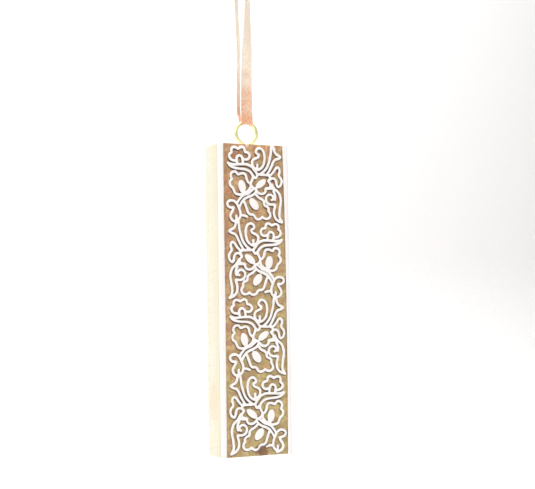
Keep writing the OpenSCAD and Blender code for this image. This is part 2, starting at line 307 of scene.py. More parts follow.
class Weave(Effect):
    """Crossing threads, for coordinates whose first two numbers run across and along a cloth."""

    title = "weave"
    takes = {"Thread Scale": 1.0}
    gives = ("Threads", "Gaps")

    @classmethod
    def build(cls, graph: Graph, given: NodeOutputs) -> Sockets:
        """Fill the group and return what each of its outputs gives."""
        inputs = {0: given["Vector"], "Scale": given["Thread Scale"]}
        scaled = graph.add("VectorMath", inputs, operation="SCALE")
        parts = graph.add("SeparateXYZ", {0: scaled.outputs[0]})
        warp = graph.math("ABSOLUTE", graph.math("SINE", parts.outputs[0]))
        weft = graph.math("ABSOLUTE", graph.math("SINE", parts.outputs[1]))
        threads = graph.math("MAXIMUM", warp, weft)
        return {"Threads": threads, "Gaps": graph.ramp(threads, 0.25, 0.6, 1.0, 0.0)}


class Blot(Effect):
    """A stain with a ragged edge around one spot, all in metres."""

    title = "blot"
    takes = {"X": 0.0, "Y": 0.0, "Z": 0.0, "Size": 0.004, "Ragged": 0.0012}
    gives = ("Share",)

    @classmethod
    def build(cls, graph: Graph, given: NodeOutputs) -> Sockets:
        """Fill the group and return what each of its outputs gives."""
        spot = graph.add("CombineXYZ", {0: given["X"], 1: given["Y"], 2: given["Z"]}).outputs[0]
        away = graph.add("VectorMath", {0: given["Vector"], 1: spot}, operation="DISTANCE").outputs["Value"]
        rough = graph.minus(graph.noise(given["Vector"], 900.0, 4.0, 0.65), 0.5)
        ragged = graph.plus(away, graph.times(graph.times(rough, 4.0), given["Ragged"]))
        return {"Share": graph.ramp(graph.math("DIVIDE", ragged, given["Size"]), 0.55, 1.15, 1.0, 0.0)}

    @classmethod
    def at(cls, graph: Graph, vector: Input, spot: Point, size: float, ragged: float) -> NodeSocket:
        """Place a blot at a spot, in millimetres, and return its share."""
        x, y, z = (v * MM for v in spot)
        return cls.use(graph, vector, X=x, Y=y, Z=z, Size=size * MM, Ragged=ragged * MM)["Share"]


def new_material(name: str) -> tuple[Material, Graph, Node]:
    """Start a material on one Principled shader.

    Args:
        name: The material's name.

    Returns:
        The material, its graph and its shader.
    """
    material = bpy.data.materials.new(name)
    material.use_nodes = True
    graph = Graph(material.node_tree)
    return material, graph, material.node_tree.nodes["Principled BSDF"]


def raise_surface(graph: Graph, shader: Node, height: Input, distance: float, strength: float = 1.0) -> None:
    """Give a shader a bump.

    Args:
        graph: The material's graph.
        shader: The Principled shader.
        height: What the surface rises by, from 0 to 1.
        distance: How far it rises, in millimetres.
        strength: How much of the bump shows.
    """
    bump = graph.add("Bump", {"Height": height, "Distance": distance * MM, "Strength": strength})
    graph.tree.links.new(bump.outputs[0], shader.inputs["Normal"])


def connect(graph: Graph, shader: Node, **sockets: NodeSocket) -> None:
    """Link outputs to a shader's sockets, named with underscores for spaces."""
    for name, socket in sockets.items():
        graph.tree.links.new(socket, shader.inputs[name.replace("_", " ")])


# --- Finishes --------------------------------------------------------------------------------


@dataclass(frozen=True)
class PaleWood:
    """Bare light wood with fine saw marks across it."""

    name: str
    light: Colour = (0.82, 0.81, 0.70)
    dark: Colour = (0.76, 0.69, 0.48)
    shade: Colour = (0.60, 0.47, 0.32)
    bleached: Colour = (0.83, 0.82, 0.74)
    stain: Colour = (0.78, 0.48, 0.22)
    run: GrainRun = GrainRun.UPRIGHT
    saw_marks: float = 0.5
    saw_scale: float = 620.0
    kerf_scale: float = 46.0
    stain_at: Point | None = None
    stain_size: float = 4.4
    stain_ragged: float = 1.8
    stain_strength: float = 0.26
    stain_squeeze: float = 0.55
    # Painted shade on a rail's side, darker towards its front edge where the board sits: a broad darkening,
    # and a thin dark line at the joint that is partly the joint itself and partly painted shadow in the gap.
    seam_y: float | None = None
    seam_shade_reach: float = 8.0
    seam_line: float = 0.5
    shift: float = 0.0

    def material(self) -> Material:
        """Build the material."""
        material, graph, shader = new_material(self.name)
        place = graph.place()
        moved = graph.add("Mapping", {"Vector": place, "Location": (self.shift, self.shift, 0.0)}).outputs[0]
        figure = WoodFigure.use(graph, graph.stretched(moved, self.run.value, (0.0, 0.03, 0.0)))
        wear = Wear.use(graph, moved)
        saw_place = graph.stretched(moved, (0.5, 0.5, 3.2), (0.16, 0.10, 0.0))
        fine_saw = graph.ramp(graph.noise(saw_place, self.saw_scale, 2.0), 0.35, 0.65)
        waves = {"Scale": self.kerf_scale, "Distortion": 6.0, "Detail": 3.0, "Detail Scale": 1.4}
        kerf = graph.wave(saw_place, waves, "Z")
        broken = graph.ramp(graph.noise(graph.stretched(moved, (1.0, 1.0, 2.0)), 260.0), 0.42, 0.62)
        kerf = graph.times(graph.ramp(kerf, 0.82, 0.98), broken)
        tone = graph.times(graph.plus(figure["Bands"], figure["Fibres"]), 0.5)
        colour = graph.mix(graph.ramp(tone, 0.25, 0.8, 0.0, 0.55), self.light, self.dark)
        colour = graph.over(colour, fine_saw, 0.25 * self.saw_marks, self.dark)
        colour = graph.over(colour, kerf, 0.55 * self.saw_marks, self.shade)
        colour = graph.over(colour, figure["Pores"], 0.35, self.shade)
        colour = graph.over(colour, wear["Patches"], 0.3, self.bleached)
        # Painted shade towards the joint with the board, then the thin line at the joint, partly the dark
        # joint and partly painted shadow.
        if self.seam_y is not None:
            depth = graph.part(place, 1)
            layers = ((self.seam_shade_reach, 0.6, self.dark), (self.seam_line, 0.7, self.shade))
            for reach, strength, tint in layers:
                near = graph.ramp(depth, (self.seam_y + reach) * MM, self.seam_y * MM, 0.0, strength)
                colour = graph.mix(near, colour, tint)
        if self.stain_at is not None:
            squeezed = graph.stretched(place, (1.0, 1.0, self.stain_squeeze))
            share = Blot.at(graph, squeezed, self.squeezed_stain(), self.stain_size, self.stain_ragged)
            colour = graph.over(colour, share, self.stain_strength, self.stain)
        rough = graph.ramp(wear["Tooth"], 0.3, 0.7, 0.52, 0.72)
        connect(graph, shader, Base_Color=colour, Roughness=rough)
        height = graph.plus(graph.times(fine_saw, self.saw_marks), figure["Fibres"])
        raise_surface(graph, shader, height, 0.06, 0.8)
        return material

    def squeezed_stain(self) -> Point:
        """Return the stain's middle in coordinates that draw it out along the grain."""
        return self.stain_at[0], self.stain_at[1], self.stain_at[2] * self.stain_squeeze


@dataclass(frozen=True)
class CarvedWood:
    """Whitewash on the raised lines, and an oiled ground that turns from copper to olive gold."""

    name: str
    whitewash: Colour = (0.95, 0.92, 0.90)
    under_wash: Colour = (0.84, 0.72, 0.61)
    copper: Colour = (0.60, 0.26, 0.13)
    honey: Colour = (0.60, 0.37, 0.165)
    olive: Colour = (0.60, 0.49, 0.17)
    bare: Colour = (0.82, 0.62, 0.38)
    smoked: Colour = (0.27, 0.15, 0.075)
    # Near-black brown for the open pores, and for the painted shade in narrow gaps and the painted shadow
    # below the lines
    deep: Colour = (0.085, 0.045, 0.045)
    chip: Colour = (0.93, 0.72, 0.66)
    chip_at: Point = (-2.4, -6.7, -58.5)
    chip_size: float = 1.1
    chip_ragged: float = 0.3
    stain: Colour = (0.16, 0.055, 0.03)
    stain_at: Point = (2.0, -6.0, -171.8)
    stain_size: float = 2.9
    stain_ragged: float = 1.3
    oil: float = 0.06
    oil_rough: float = 0.4
    top: float = 0.0
    foot: float = -100.0
    half_width: float = 12.0

    def material(self) -> Material:
        """Build the material."""
        material, graph, shader = new_material(self.name)
        place = graph.place()
        grain = graph.stretched(place, GrainRun.UPRIGHT.value)
        figure = WoodFigure.use(graph, grain, Band_Scale=180.0, Sway=2.0)
        wear = Wear.use(graph, place, Patch_Scale=95.0, Scuff_Scale=620.0)
        ground = self.ground(graph, place, figure)
        relief = graph.attribute("relief")
        wash = graph.mix(graph.times(wear["Scuffs"], 0.35), self.whitewash, self.under_wash)
        wobble = graph.times(graph.minus(wear["Tooth"], 0.5), 0.3)
        washed = graph.ramp(graph.plus(relief, wobble), 0.42, 0.80)
        colour = graph.mix(washed, ground, wash)
        chip = Blot.at(graph, place, self.chip_at, self.chip_size, self.chip_ragged)
        colour = graph.over(colour, chip, 0.8, self.chip)
        stain = Blot.at(graph, place, self.stain_at, self.stain_size, self.stain_ragged)
        colour = graph.over(colour, stain, self.stain_share(graph, washed), self.stain)
        rough = graph.plus(graph.times(washed, 0.25), 0.42)
        connect(graph, shader, Base_Color=colour, Roughness=rough)
        shader.inputs["Coat Weight"].default_value = self.oil
        shader.inputs["Coat Roughness"].default_value = self.oil_rough
        height = graph.plus(figure["Fibres"], graph.times(wear["Scuffs"], 0.6))
        raise_surface(graph, shader, height, 0.07, 0.8)
        return material

    def stain_share(self, graph: Graph, washed: Input) -> NodeSocket:
        """Return how strongly the stain shows, which is less on the whitewash."""
        return graph.minus(0.8, graph.times(washed, 0.45))

    def ground(self, graph: Graph, place: Input, figure: NodeOutputs) -> NodeSocket:
        """Colour the carved ground, with painted shade in its narrow gaps and a painted shadow below each
        raised line.

        Args:
            graph: The material's graph.
            place: The piece's own coordinates.
            figure: The outputs of the wood figure group.

        Returns:
            The ground's colour.
        """
        parts = graph.add("SeparateXYZ", {0: place})
        # The ground is graded by position: copper at the top left, olive gold towards the foot and the right
        down = graph.ramp(parts.outputs[2], self.top * MM, self.foot * MM)
        across = graph.ramp(parts.outputs[0], -self.half_width * MM, self.half_width * MM)
        lean = graph.plus(graph.times(down, 0.62), graph.times(across, 0.36))
        blotch = graph.noise(place, 330.0, 4.0, 0.6)
        lean = graph.plus(lean, graph.times(graph.minus(blotch, 0.46), 3.4))
        first = graph.mix(graph.ramp(lean, 0.05, 0.45), self.copper, self.honey)
        colour = graph.mix(graph.ramp(lean, 0.5, 0.95), first, self.olive)
        streak = graph.times(graph.ramp(figure["Fibres"], 0.42, 0.62), 0.35)
        colour = graph.mix(streak, colour, self.bare)
        worn = graph.times(graph.ramp(graph.noise(place, 520.0, 3.0), 0.52, 0.68), 0.7)
        colour = graph.mix(worn, colour, self.bare)
        burnt = graph.times(graph.ramp(graph.noise(place, 410.0, 5.0, 0.65), 0.60, 0.44, 0.0, 1.0), 0.45)
        colour = graph.mix(burnt, colour, self.smoked)
        colour = graph.over(colour, figure["Pores"], 0.4, self.deep)
        # Painted shade: the ground darkens where close lines leave little open ground, as in narrow gaps.
        gap_shade = graph.ramp(graph.attribute("openness"), 0.32, 0.72, 0.9, 0.0)
        colour = graph.mix(gap_shade, colour, self.deep)
        # Painted shadow: the ground darkens just below each raised line, as if lit from above.
        return graph.mix(graph.ramp(graph.attribute("painted_shadow"), 0.15, 0.75, 0.0, 0.85), colour, self.deep)


@dataclass(frozen=True)
class Brass:
    """Bright drawn brass with light tarnish and a fine tooth."""

    name: str
    tint: Colour = (0.97, 0.93, 0.48)
    dull: Colour = (0.80, 0.72, 0.28)

    def material(self) -> Material:
        """Build the material."""
        material, graph, shader = new_material(self.name)
        place = graph.place()
        wear = Wear.use(graph, place, Patch_Scale=380.0, Scuff_Scale=1500.0, Tooth_Scale=9000.0)
        tarnish = graph.times(wear["Patches"], 0.30)
        colour = graph.mix(tarnish, self.tint, self.dull)
        rough = graph.ramp(wear["Scuffs"], 0.0, 1.0, 0.34, 0.55)
        connect(graph, shader, Base_Color=colour, Roughness=rough)
        shader.inputs["Metallic"].default_value = 1.0
        raise_surface(graph, shader, wear["Tooth"], 0.01, 0.5)
        return material


@dataclass(frozen=True)
class GlitterOrganza:
    """Sheer woven ribbon that carries fine glitter, with painted light that makes it paler and more
    see-through towards its top.
    """

    name: str
    coral: Colour = (0.98, 0.47, 0.27)
    # The pale tone of the ribbon's top, painted as light washing it out
    cream: Colour = (1.0, 0.87, 0.68)
    fleck: Colour = (1.0, 0.93, 0.74)
    ember: Colour = (0.93, 0.42, 0.22)
    low: float = -57.0
    high: float = -22.0
    thread: float = 0.16
    fleck_scale: float = 2900.0
    sheen: float = 0.35
    sheen_rough: float = 0.4

    def material(self) -> Material:
        """Build the material."""
        material, graph, shader = new_material(self.name)
        place = graph.place()
        cloth = graph.add("UVMap").outputs[0]
        weave = Weave.use(graph, cloth, Thread_Scale=math.pi / (self.thread * MM))
        wear = Wear.use(graph, place, Patch_Scale=160.0, Scuff_Scale=900.0)
        # Painted light: up the ribbon the coral gives way to pale cream and the cloth lets more through, as
        # if washed out by light
        rise = graph.ramp(graph.part(place, 2), self.low * MM, self.high * MM)
        rise = graph.plus(rise, graph.times(graph.minus(wear["Patches"], 0.5), 0.3))
        colour = graph.mix(graph.ramp(rise, 0.0, 1.0), self.coral, self.cream)
        flecks = graph.add("TexVoronoi", {"Vector": place, "Scale": self.fleck_scale}).outputs["Color"]
        which = graph.add("SeparateColor", {0: flecks})
        glow = graph.times(graph.ramp(which.outputs[1], 0.55, 0.7), graph.ramp(rise, 0.2, 1.2, 0.55, 0.35))
        colour = graph.mix(glow, colour, self.ember)
        lit = graph.ramp(which.outputs[0], 0.62, 0.74)
        colour = graph.over(colour, lit, 0.5, self.fleck)
        metal = graph.times(lit, 0.25)
        rough = graph.ramp(lit, 0.0, 1.0, 0.62, 0.3)
        veil = graph.times(weave["Gaps"], graph.minus(0.3, graph.times(lit, 0.3)))
        alpha = graph.minus(graph.ramp(rise, 0.1, 1.2, 0.94, 0.50), veil)
        connect(graph, shader, Base_Color=colour, Metallic=metal, Roughness=rough, Alpha=alpha)
        shader.inputs["Sheen Weight"].default_value = self.sheen
        shader.inputs["Sheen Roughness"].default_value = self.sheen_rough
        height = graph.plus(graph.times(which.outputs[1], lit), weave["Threads"])
        raise_surface(graph, shader, height, 0.06, 0.9)
        return material


@dataclass(frozen=True)
class Parchment:
    """Scraped skin, thin and cream, with faint veins."""

    name: str
    skin: Colour = (0.90, 0.83, 0.66)
    warm: Colour = (0.79, 0.66, 0.43)
    vein_scale: float = 260.0
    glow: float = 0.15
    glow_depth: float = 0.4

    def material(self) -> Material:
        """Build the material."""
        material, graph, shader = new_material(self.name)
        place = graph.place()
        wear = Wear.use(graph, place, Patch_Scale=140.0, Scuff_Scale=700.0)
        cells = {"Vector": place, "Scale": self.vein_scale}
        veins = graph.add("TexVoronoi", cells, feature="DISTANCE_TO_EDGE").outputs[0]
        vein = graph.ramp(veins, 0.0, 0.12, 0.35, 0.0)
        colour = graph.mix(graph.times(wear["Patches"], 0.45), self.skin, self.warm)
        colour = graph.mix(vein, colour, self.warm)
        connect(graph, shader, Base_Color=colour, Roughness=graph.ramp(wear["Tooth"], 0.3, 0.7, 0.45, 0.7))
        shader.inputs["Subsurface Weight"].default_value = self.glow
        shader.inputs["Subsurface Scale"].default_value = self.glow_depth * MM
        raise_surface(graph, shader, graph.plus(wear["Tooth"], wear["Scuffs"]), 0.03, 0.7)
        return material


# --- Meshes ----------------------------------------------------------------------------------


@dataclass
class Shape:
    """Points in millimetres and the faces between them."""

    points: list[Sequence[float]] = field(default_factory=list)
    faces: list[Sequence[int]] = field(default_factory=list)
    uvs: list[tuple[float, float]] = field(default_factory=list)

    def join(self, other: Shape) -> None:
        """Add another shape's points and faces to this one."""
        start = len(self.points)
        self.points.extend(other.points)
        self.uvs.extend(other.uvs)
        self.faces.extend([[start + i for i in face] for face in other.faces])

    def mesh(self, name: str, smooth: bool = True) -> Mesh:
        """Make the shape into a mesh in metres.

        Args:
            name: The mesh's name.
            smooth: Whether its faces are shaded smooth.

        Returns:
            The new mesh.
        """
        mesh = bpy.data.meshes.new(name)
        points = (np.array([tuple(p) for p in self.points]) * MM).tolist()
        mesh.from_pydata(points, [], [list(f) for f in self.faces])
        if self.uvs:
            layer = mesh.uv_layers.new(name="cloth")
            corners = np.zeros(len(mesh.loops), dtype=np.int32)
            mesh.loops.foreach_get("vertex_index", corners)
            layer.data.foreach_set("uv", (np.array(self.uvs)[corners] * MM).ravel())
        mesh.polygons.foreach_set("use_smooth", [smooth] * len(mesh.polygons))
        mesh.update()
        return mesh


def placed(name: str, data: bpy.types.ID) -> Object:
    """Put data in the scene as a new object and return it."""
    thing = bpy.data.objects.new(name, data)
    bpy.context.scene.collection.objects.link(thing)
    return thing


def add_piece(mesh: Mesh, materials: Iterable[Material], body: Body) -> Object:
    """Put a mesh in the scene as a piece of the object.

    Args:
        mesh: The mesh, already in place.
        materials: Its materials, in slot order.
        body: The body that it moves with.

    Returns:
        The new object.
    """
    for material in materials:
        mesh.materials.append(material)
    piece = placed(mesh.name, mesh)
    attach(piece, body.value)
    log.info("made %s with %d faces", piece.name, len(mesh.polygons))
    return piece


def tube(rings: Sequence[Sequence[Sequence[float]]], closed: bool = False) -> Shape:
    """Join rings of equal length into a skin, with flat ends unless it closes on itself.

    Args:
        rings: The rings of points, in order along the tube.
        closed: Whether the last ring joins the first.

    Returns:
        The skin.
    """
    count, shape = len(rings[0]), Shape()
    for ring in rings:
        shape.points.extend(ring)
    for i in range(len(rings) if closed else len(rings) - 1):
        a, b = i * count, (i + 1) % len(rings) * count
        for k in range(count):
            n = (k + 1) % count
            shape.faces.append([a + k, a + n, b + n, b + k])
    if not closed:
        last = (len(rings) - 1) * count
        shape.faces.append(list(range(count))[::-1])
        shape.faces.append([last + k for k in range(count)])
    return shape


def face_outwards(mesh: Mesh) -> Mesh:
    """Turn a closed mesh's faces outwards and return it."""
    work = bmesh.new()
    work.from_mesh(mesh)
    bmesh.ops.recalc_face_normals(work, faces=work.faces)
    work.to_mesh(mesh)
    work.free()
    return mesh


def smooth_line(points: Sequence[Sequence[float]], steps: int) -> np.ndarray:
    """Draw a smooth line through points.

    Args:
        points: The points that it passes through.
        steps: How many stretches it has between two points.

    Returns:
        The points of the smooth line, with the given ones among them.
    """
    p = np.array(points, dtype=float)
    before = np.vstack([p[:1], p[:-2]])
    after = np.vstack([p[2:], p[-1:]])
    t = np.arange(steps)[:, None, None] / steps
    a, b = p[:-1], p[1:]
    line = 0.5 * (
        2 * a + (b - before) * t + (2 * before - 5 * a + 4 * b - after) * t**2
        + (3 * a - before - 3 * b + after) * t**3
    )
    return np.vstack([line.transpose(1, 0, 2).reshape(-1, p.shape[1]), p[-1:]])


def directions(line: np.ndarray) -> np.ndarray:
    """Return the way a line runs at each of its points, as unit vectors."""
    along = np.gradient(line, axis=0)
    return along / np.linalg.norm(along, axis=1)[:, None]


def bevelled(mesh: Mesh, width: float) -> Mesh:
    """Break the edges of a mesh.

    Args:
        mesh: The mesh, changed in place.
        width: The width of the broken edge, in millimetres.

    Returns:
        The same mesh.
    """
    work = bmesh.new()
    work.from_mesh(mesh)
    bmesh.ops.recalc_face_normals(work, faces=work.faces)
    sharp = [e for e in work.edges if len(e.link_faces) == 2 and e.calc_face_angle(0.0) > SHARP_EDGE]
    bmesh.ops.bevel(
        work, geom=sharp, offset=width * MM, offset_type="OFFSET", segments=2, profile=0.6,
        affect="EDGES", clamp_overlap=True,
    )
    work.to_mesh(mesh)
    work.free()
    return mesh


# --- Camera and studio -----------------------------------------------------------------------


@dataclass
class Studio:
    """The camera, the lights, the floor and the backdrop."""

    target: Point = (8.23, 0.11, -95.01)
    away: float = 442.4
    azimuth: float = 25.4
    rise: float = 3.36
    roll: float = -0.87
    lens: float = 78.74
    floor_drop: float = 62.0
    pale: Colour = (0.82, 0.81, 0.805)
    shade: Colour = (0.78, 0.77, 0.765)
    ambient: float = 0.40
    clip: tuple[float, float] = (0.01, 10.0)
    floor_front: float = -900.0
    floor_back: float = 420.0
    floor_bend: float = 160.0
    floor_rise: float = 900.0
    floor_reach: float = 1400.0
    bend_steps: int = 12

    def camera(self) -> None:
        """Place the camera at the left, level with the middle of the case, and use it."""
        turn, pitch, roll = (math.radians(v) for v in (self.azimuth, self.rise, self.roll))
        view = Vector((math.sin(turn) * math.cos(pitch), math.cos(turn) * math.cos(pitch), math.sin(pitch)))
        level = Vector((math.cos(turn), -math.sin(turn), 0.0))
        upright = level.cross(view)
        right = level * math.cos(roll) + upright * math.sin(roll)
        up = upright * math.cos(roll) - level * math.sin(roll)
        data = bpy.data.cameras.new("camera")
        data.lens = self.lens
        data.clip_start, data.clip_end = self.clip
        camera = placed("camera", data)
        camera.matrix_world = Matrix((right, up, -view)).transposed().to_4x4()
        camera.location = (Vector(self.target) - view * self.away) * MM
        bpy.context.scene.camera = camera

    def paper(self) -> Material:
        """Build the floor's pale paper, which is clear where it is seen from behind."""
        material, graph, shader = new_material("studio_paper")
        grain = graph.noise(graph.place(), 900.0, 3.0)
        connect(graph, shader, Base_Color=graph.mix(graph.ramp(grain, 0.3, 0.7), self.shade, self.pale))
        shader.inputs["Roughness"].default_value = 0.9
        seen = graph.add("LightPath").outputs["Is Camera Ray"]
        behind = graph.times(graph.add("NewGeometry").outputs["Backfacing"], seen)
        clear = graph.add("BsdfTransparent").outputs[0]
        both = graph.add("MixShader", {0: behind, 1: shader.outputs[0], 2: clear}).outputs[0]
        graph.tree.links.new(both, graph.tree.nodes["Material Output"].inputs["Surface"])
        return material

    def backdrop(self, foot: float) -> None:
        """Lay a pale floor below the case that curves up into a plain backdrop."""
        level, back, bend, reach = foot - self.floor_drop, self.floor_back, self.floor_bend, self.floor_reach
        section = [(self.floor_front, level), (back - bend, level)]
        for step in range(1, self.bend_steps + 1):
            a = math.radians(90.0 * step / self.bend_steps)
            section.append((back - bend + bend * math.sin(a), level + bend * (1 - math.cos(a))))
        section.append((back, level + self.floor_rise))
        shape = Shape()
        for y, z in section:
            shape.points += [(-reach, y, z), (reach, y, z)]
        shape.faces = [[2 * i, 2 * i + 1, 2 * i + 3, 2 * i + 2] for i in range(len(section) - 1)]
        mesh = shape.mesh("studio_floor")
        mesh.materials.append(self.paper())
        placed("studio_floor", mesh)

    def lamp(self, name: str, place: Point, aim: Point, size: float, watts: float, tint: Colour) -> None:
        """Add one soft square light.

        Args:
            name: The light's name.
            place: Where it stands, in millimetres.
            aim: What it faces.
            size: Its side, in millimetres.
            watts: Its power.
            tint: Its colour.
        """
        data = bpy.data.lights.new(name, "AREA")
        data.size, data.energy, data.color = size * MM, watts, tint
        lamp = placed(name, data)
        lamp.location = Vector(place) * MM
        lamp.rotation_euler = (Vector(aim) - Vector(place)).to_track_quat("-Z", "Y").to_euler()

    def lights(self) -> None:
        """Light the case softly from the front left, with fill from the right and above."""
        case, paper, white = (0.0, 0.0, -110.0), (0.0, 400.0, -120.0), (1.0, 1.0, 1.0)
        for name, place, aim, size, watts, tint in (
            ("key_light", (-430.0, -330.0, 210.0), case, 300.0, 1.3, (1.0, 0.985, 0.96)),
            ("fill_light", (380.0, -460.0, 40.0), case, 500.0, 0.45, (1.0, 0.99, 0.98)),
            ("top_light", (40.0, -60.0, 460.0), case, 420.0, 0.7, white),
            ("back_light", (0.0, 160.0, 620.0), paper, 700.0, 9.0, white),
        ):
            self.lamp(name, place, aim, size, watts, tint)
        world = bpy.data.worlds.new("studio_world")
        world.use_nodes = True
        graph = Graph(world.node_tree)
        soft = world.node_tree.nodes["Background"]
        soft.inputs["Strength"].default_value = self.ambient
        soft.inputs["Color"].default_value = (1.0, 0.995, 0.99, 1.0)
        bare = graph.add("Background", {"Color": opaque(white), "Strength": 1.0})
        seen = graph.add("LightPath").outputs["Is Camera Ray"]
        both = graph.add("MixShader", {0: seen, 1: soft.outputs[0], 2: bare.outputs[0]})
        graph.tree.links.new(both.outputs[0], world.node_tree.nodes["World Output"].inputs["Surface"])
        bpy.context.scene.world = world
        bpy.context.scene.view_settings.view_transform = "Standard"


# --- Ribbon ----------------------------------------------------------------------------------


@dataclass
class Ribbon:
    """The ribbon loop through the eye, with the knot that closes it."""

    width: float = 4.6
    thickness: float = 0.14
    selvedge: float = 0.17
    wire_r: float = 0.625
    eye_r: float = 4.2
    pivot_z: float = -49.0
    bight_gap: float = 0.16
    cup: float = 0.22
    route: tuple[tuple[float, float, float, float], ...] = (
        (0.9, -0.8, 2, 46), (0.9, -0.8, 0, 44), (0.7, -0.9, -8, 36), (0.5, -1, -16, 25),
        (0.2, -1.1, -24, 10), (-0.1, -1.2, -32, 5), (-0.3, -1.4, -40, 2), (-0.4, -1.6, -45, 0),
        (-0.3, -1.75, -48, 0), (-0.2, -1.75, -49, 0), (-0.1, -1.5, -49.9, 0), (0, -0.9, -50.5, 0),
        (0, 0, -50.75, 0), (0, 0.9, -50.5, 0), (0, 1.5, -49.9, 0), (0, 1.75, -49, 0),
        (-0.1, 2.2, -48, 12), (-0.4, 3, -47, 30), (-0.9, 3.6, -46, 44), (-1.3, 3.8, -45, 52),
        (-1.3, 3.8, -40, 53), (-1.2, 3.7, -32, 53), (-1.2, 3.6, -24, 52), (-1.3, 3.5, -16, 52),
        (-1.7, 3.4, -8, 51), (-2.1, 3.2, 0, 50), (-2.1, 3.2, 2, 50),
    )
    route_steps: int = 9
    bight_r: float = 1.75
    hug_height: float = 3.4
    hug_ease: float = 0.6
    cup_run: float = 9.0
    knot_at: Point = (-0.7, 1.2, 3.5)
    # Each turn's tilt, the way it leans, its radius, and its width as a share of the ribbon's
    turns: tuple[tuple[float, float, float, float], ...] = (
        (12.0, 0.0, 2.35, 1.0), (38.0, 70.0, 2.7, 0.72), (-34.0, 160.0, 2.95, 0.60), (62.0, 20.0, 2.2, 0.66),
    )
    turn_steps: int = 48
    tail_turns: tuple[float, ...] = (35.0, 150.0)
    tail_lift: float = 40.0
    tail_reach: float = 8.6
    tail_start: float = 1.2
    tail_droop: float = 1.1
    tail_twist: float = 12.0
    tail_slant: float = 0.45
    tail_steps: int = 24

    def section(self) -> list[tuple[float, float]]:
        """Return the ribbon's section, across and through, with a thread along each edge."""
        half, through = self.width / 2, self.thickness / 2
        across = [half - self.selvedge * 2, half - self.selvedge * 1.4, half - self.selvedge * 0.5, half]
        edge = [through, self.selvedge * 0.8, self.selvedge * 0.9, 0.0]
        inner = np.linspace(-across[0], across[0], 11)[1:-1]
        upper = [(-a, t) for a, t in zip(across[::-1], edge[::-1])] + [(float(a), through) for a in inner]
        upper += list(zip(across, edge))
        return upper + [(a, -t) for a, t in upper[::-1] if t > 0]

    def strip(self, line: np.ndarray, turns: np.ndarray, hug: bool) -> Shape:
        """Sweep the ribbon's section along a line.

        Args:
            line: The middle of the ribbon, point by point.
            turns: How far its width has turned about Z at each point, in degrees.
            hug: Whether it closes round the eye's wire where it passes under it.

        Returns:
            The ribbon's skin, with cloth coordinates across and along it.
        """
        section, rings, uvs = self.section(), [], []
        along = directions(line)
        run = np.concatenate([[0.0], np.cumsum(np.linalg.norm(np.diff(line, axis=0), axis=1))])
        for here, way, turn, far in zip(line, along, np.radians(turns), run):
            across = np.array([math.cos(turn), math.sin(turn), 0.0])
            across -= across.dot(way) * way
            across /= np.linalg.norm(across)
            out = np.cross(way, across)
            ring = []
            for a, t in section:
                bow = self.cup * (1 - (2 * a / self.width) ** 2) * math.sin(far / self.cup_run)
                point = here + across * a + out * (t + bow)
                ring.append(self.hugged(point, a) if hug else point)
            rings.append(ring)
            uvs += [(a, far) for a, _ in section]
        shape = tube(rings)
        shape.uvs = uvs
        return shape

    def hugged(self, point: np.ndarray, across: float) -> np.ndarray:
        """Draw a point of the bight in towards the eye's wire.

        Args:
            point: The point on the plain ribbon.
            across: How far it is from the ribbon's middle.

        Returns:
            The point moved on to the saddle round the wire.
        """
        above = point[2] - self.pivot_z
        share = 1.0 - min(1.0, max(0.0, above / self.hug_height))
        share = share * share * (3 - 2 * share)
        if share == 0.0:
            return point
        drop = self.eye_r - math.sqrt(self.eye_r**2 - across**2)
        reach = self.wire_r + drop + self.bight_gap
        away = np.array([point[1], min(above, 0.0)])
        length = float(np.linalg.norm(away))
        wanted = away / length * (reach + (length - self.bight_r) * self.hug_ease)
        moved = point.copy()
        moved[1] += (wanted[0] - away[0]) * share
        moved[2] += (wanted[1] - away[1]) * share
        return moved

    def loop(self, finish: Material) -> tuple[Object, np.ndarray]:
        """Make the loop and return it with its middle line."""
        line = smooth_line(self.route, self.route_steps)
        shape = self.strip(line[:, :3], line[:, 3], True)
        piece = add_piece(face_outwards(shape.mesh("ribbon_loop")), [finish], Body.RIBBON)
        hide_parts("hanging_ribbon")
        return piece, line[:, :3]

    def wrap(self, tilt: float, turn: float, radius: float, squash: float) -> Shape:
        """Make one turn of ribbon round the knot.

        Args:
            tilt: How far the turn leans from level, in degrees.
            turn: Which way it leans, in degrees about Z.
            radius: Its radius at the middle.
            squash: Its width as a share of the ribbon's.

        Returns:
            The closed band.
        """
        rings, uvs = [], []
        lean = Matrix.Rotation(math.radians(turn), 3, "Z") @ Matrix.Rotation(math.radians(tilt), 3, "X")
        for step in range(self.turn_steps):
            a = 2 * math.pi * step / self.turn_steps
            ripple = 1.0 + 0.05 * math.sin(3 * a + turn) + 0.03 * math.sin(7 * a + tilt)
            ring = []
            for across, through in self.section():
                round_off = 1.0 - 0.28 * (2 * across / self.width) ** 2
                reach = (radius * round_off + through) * ripple
                fold = 0.10 * math.sin(4.0 * across + 5 * a)
                spot = Vector(((reach + fold) * math.cos(a), (reach + fold) * math.sin(a), across * squash))
                ring.append(tuple(lean @ spot + Vector(self.knot_at)))
                uvs.append((across, a * radius))
            rings.append(ring)
        shape = tube(rings, closed=True)
        shape.uvs = uvs
        return shape

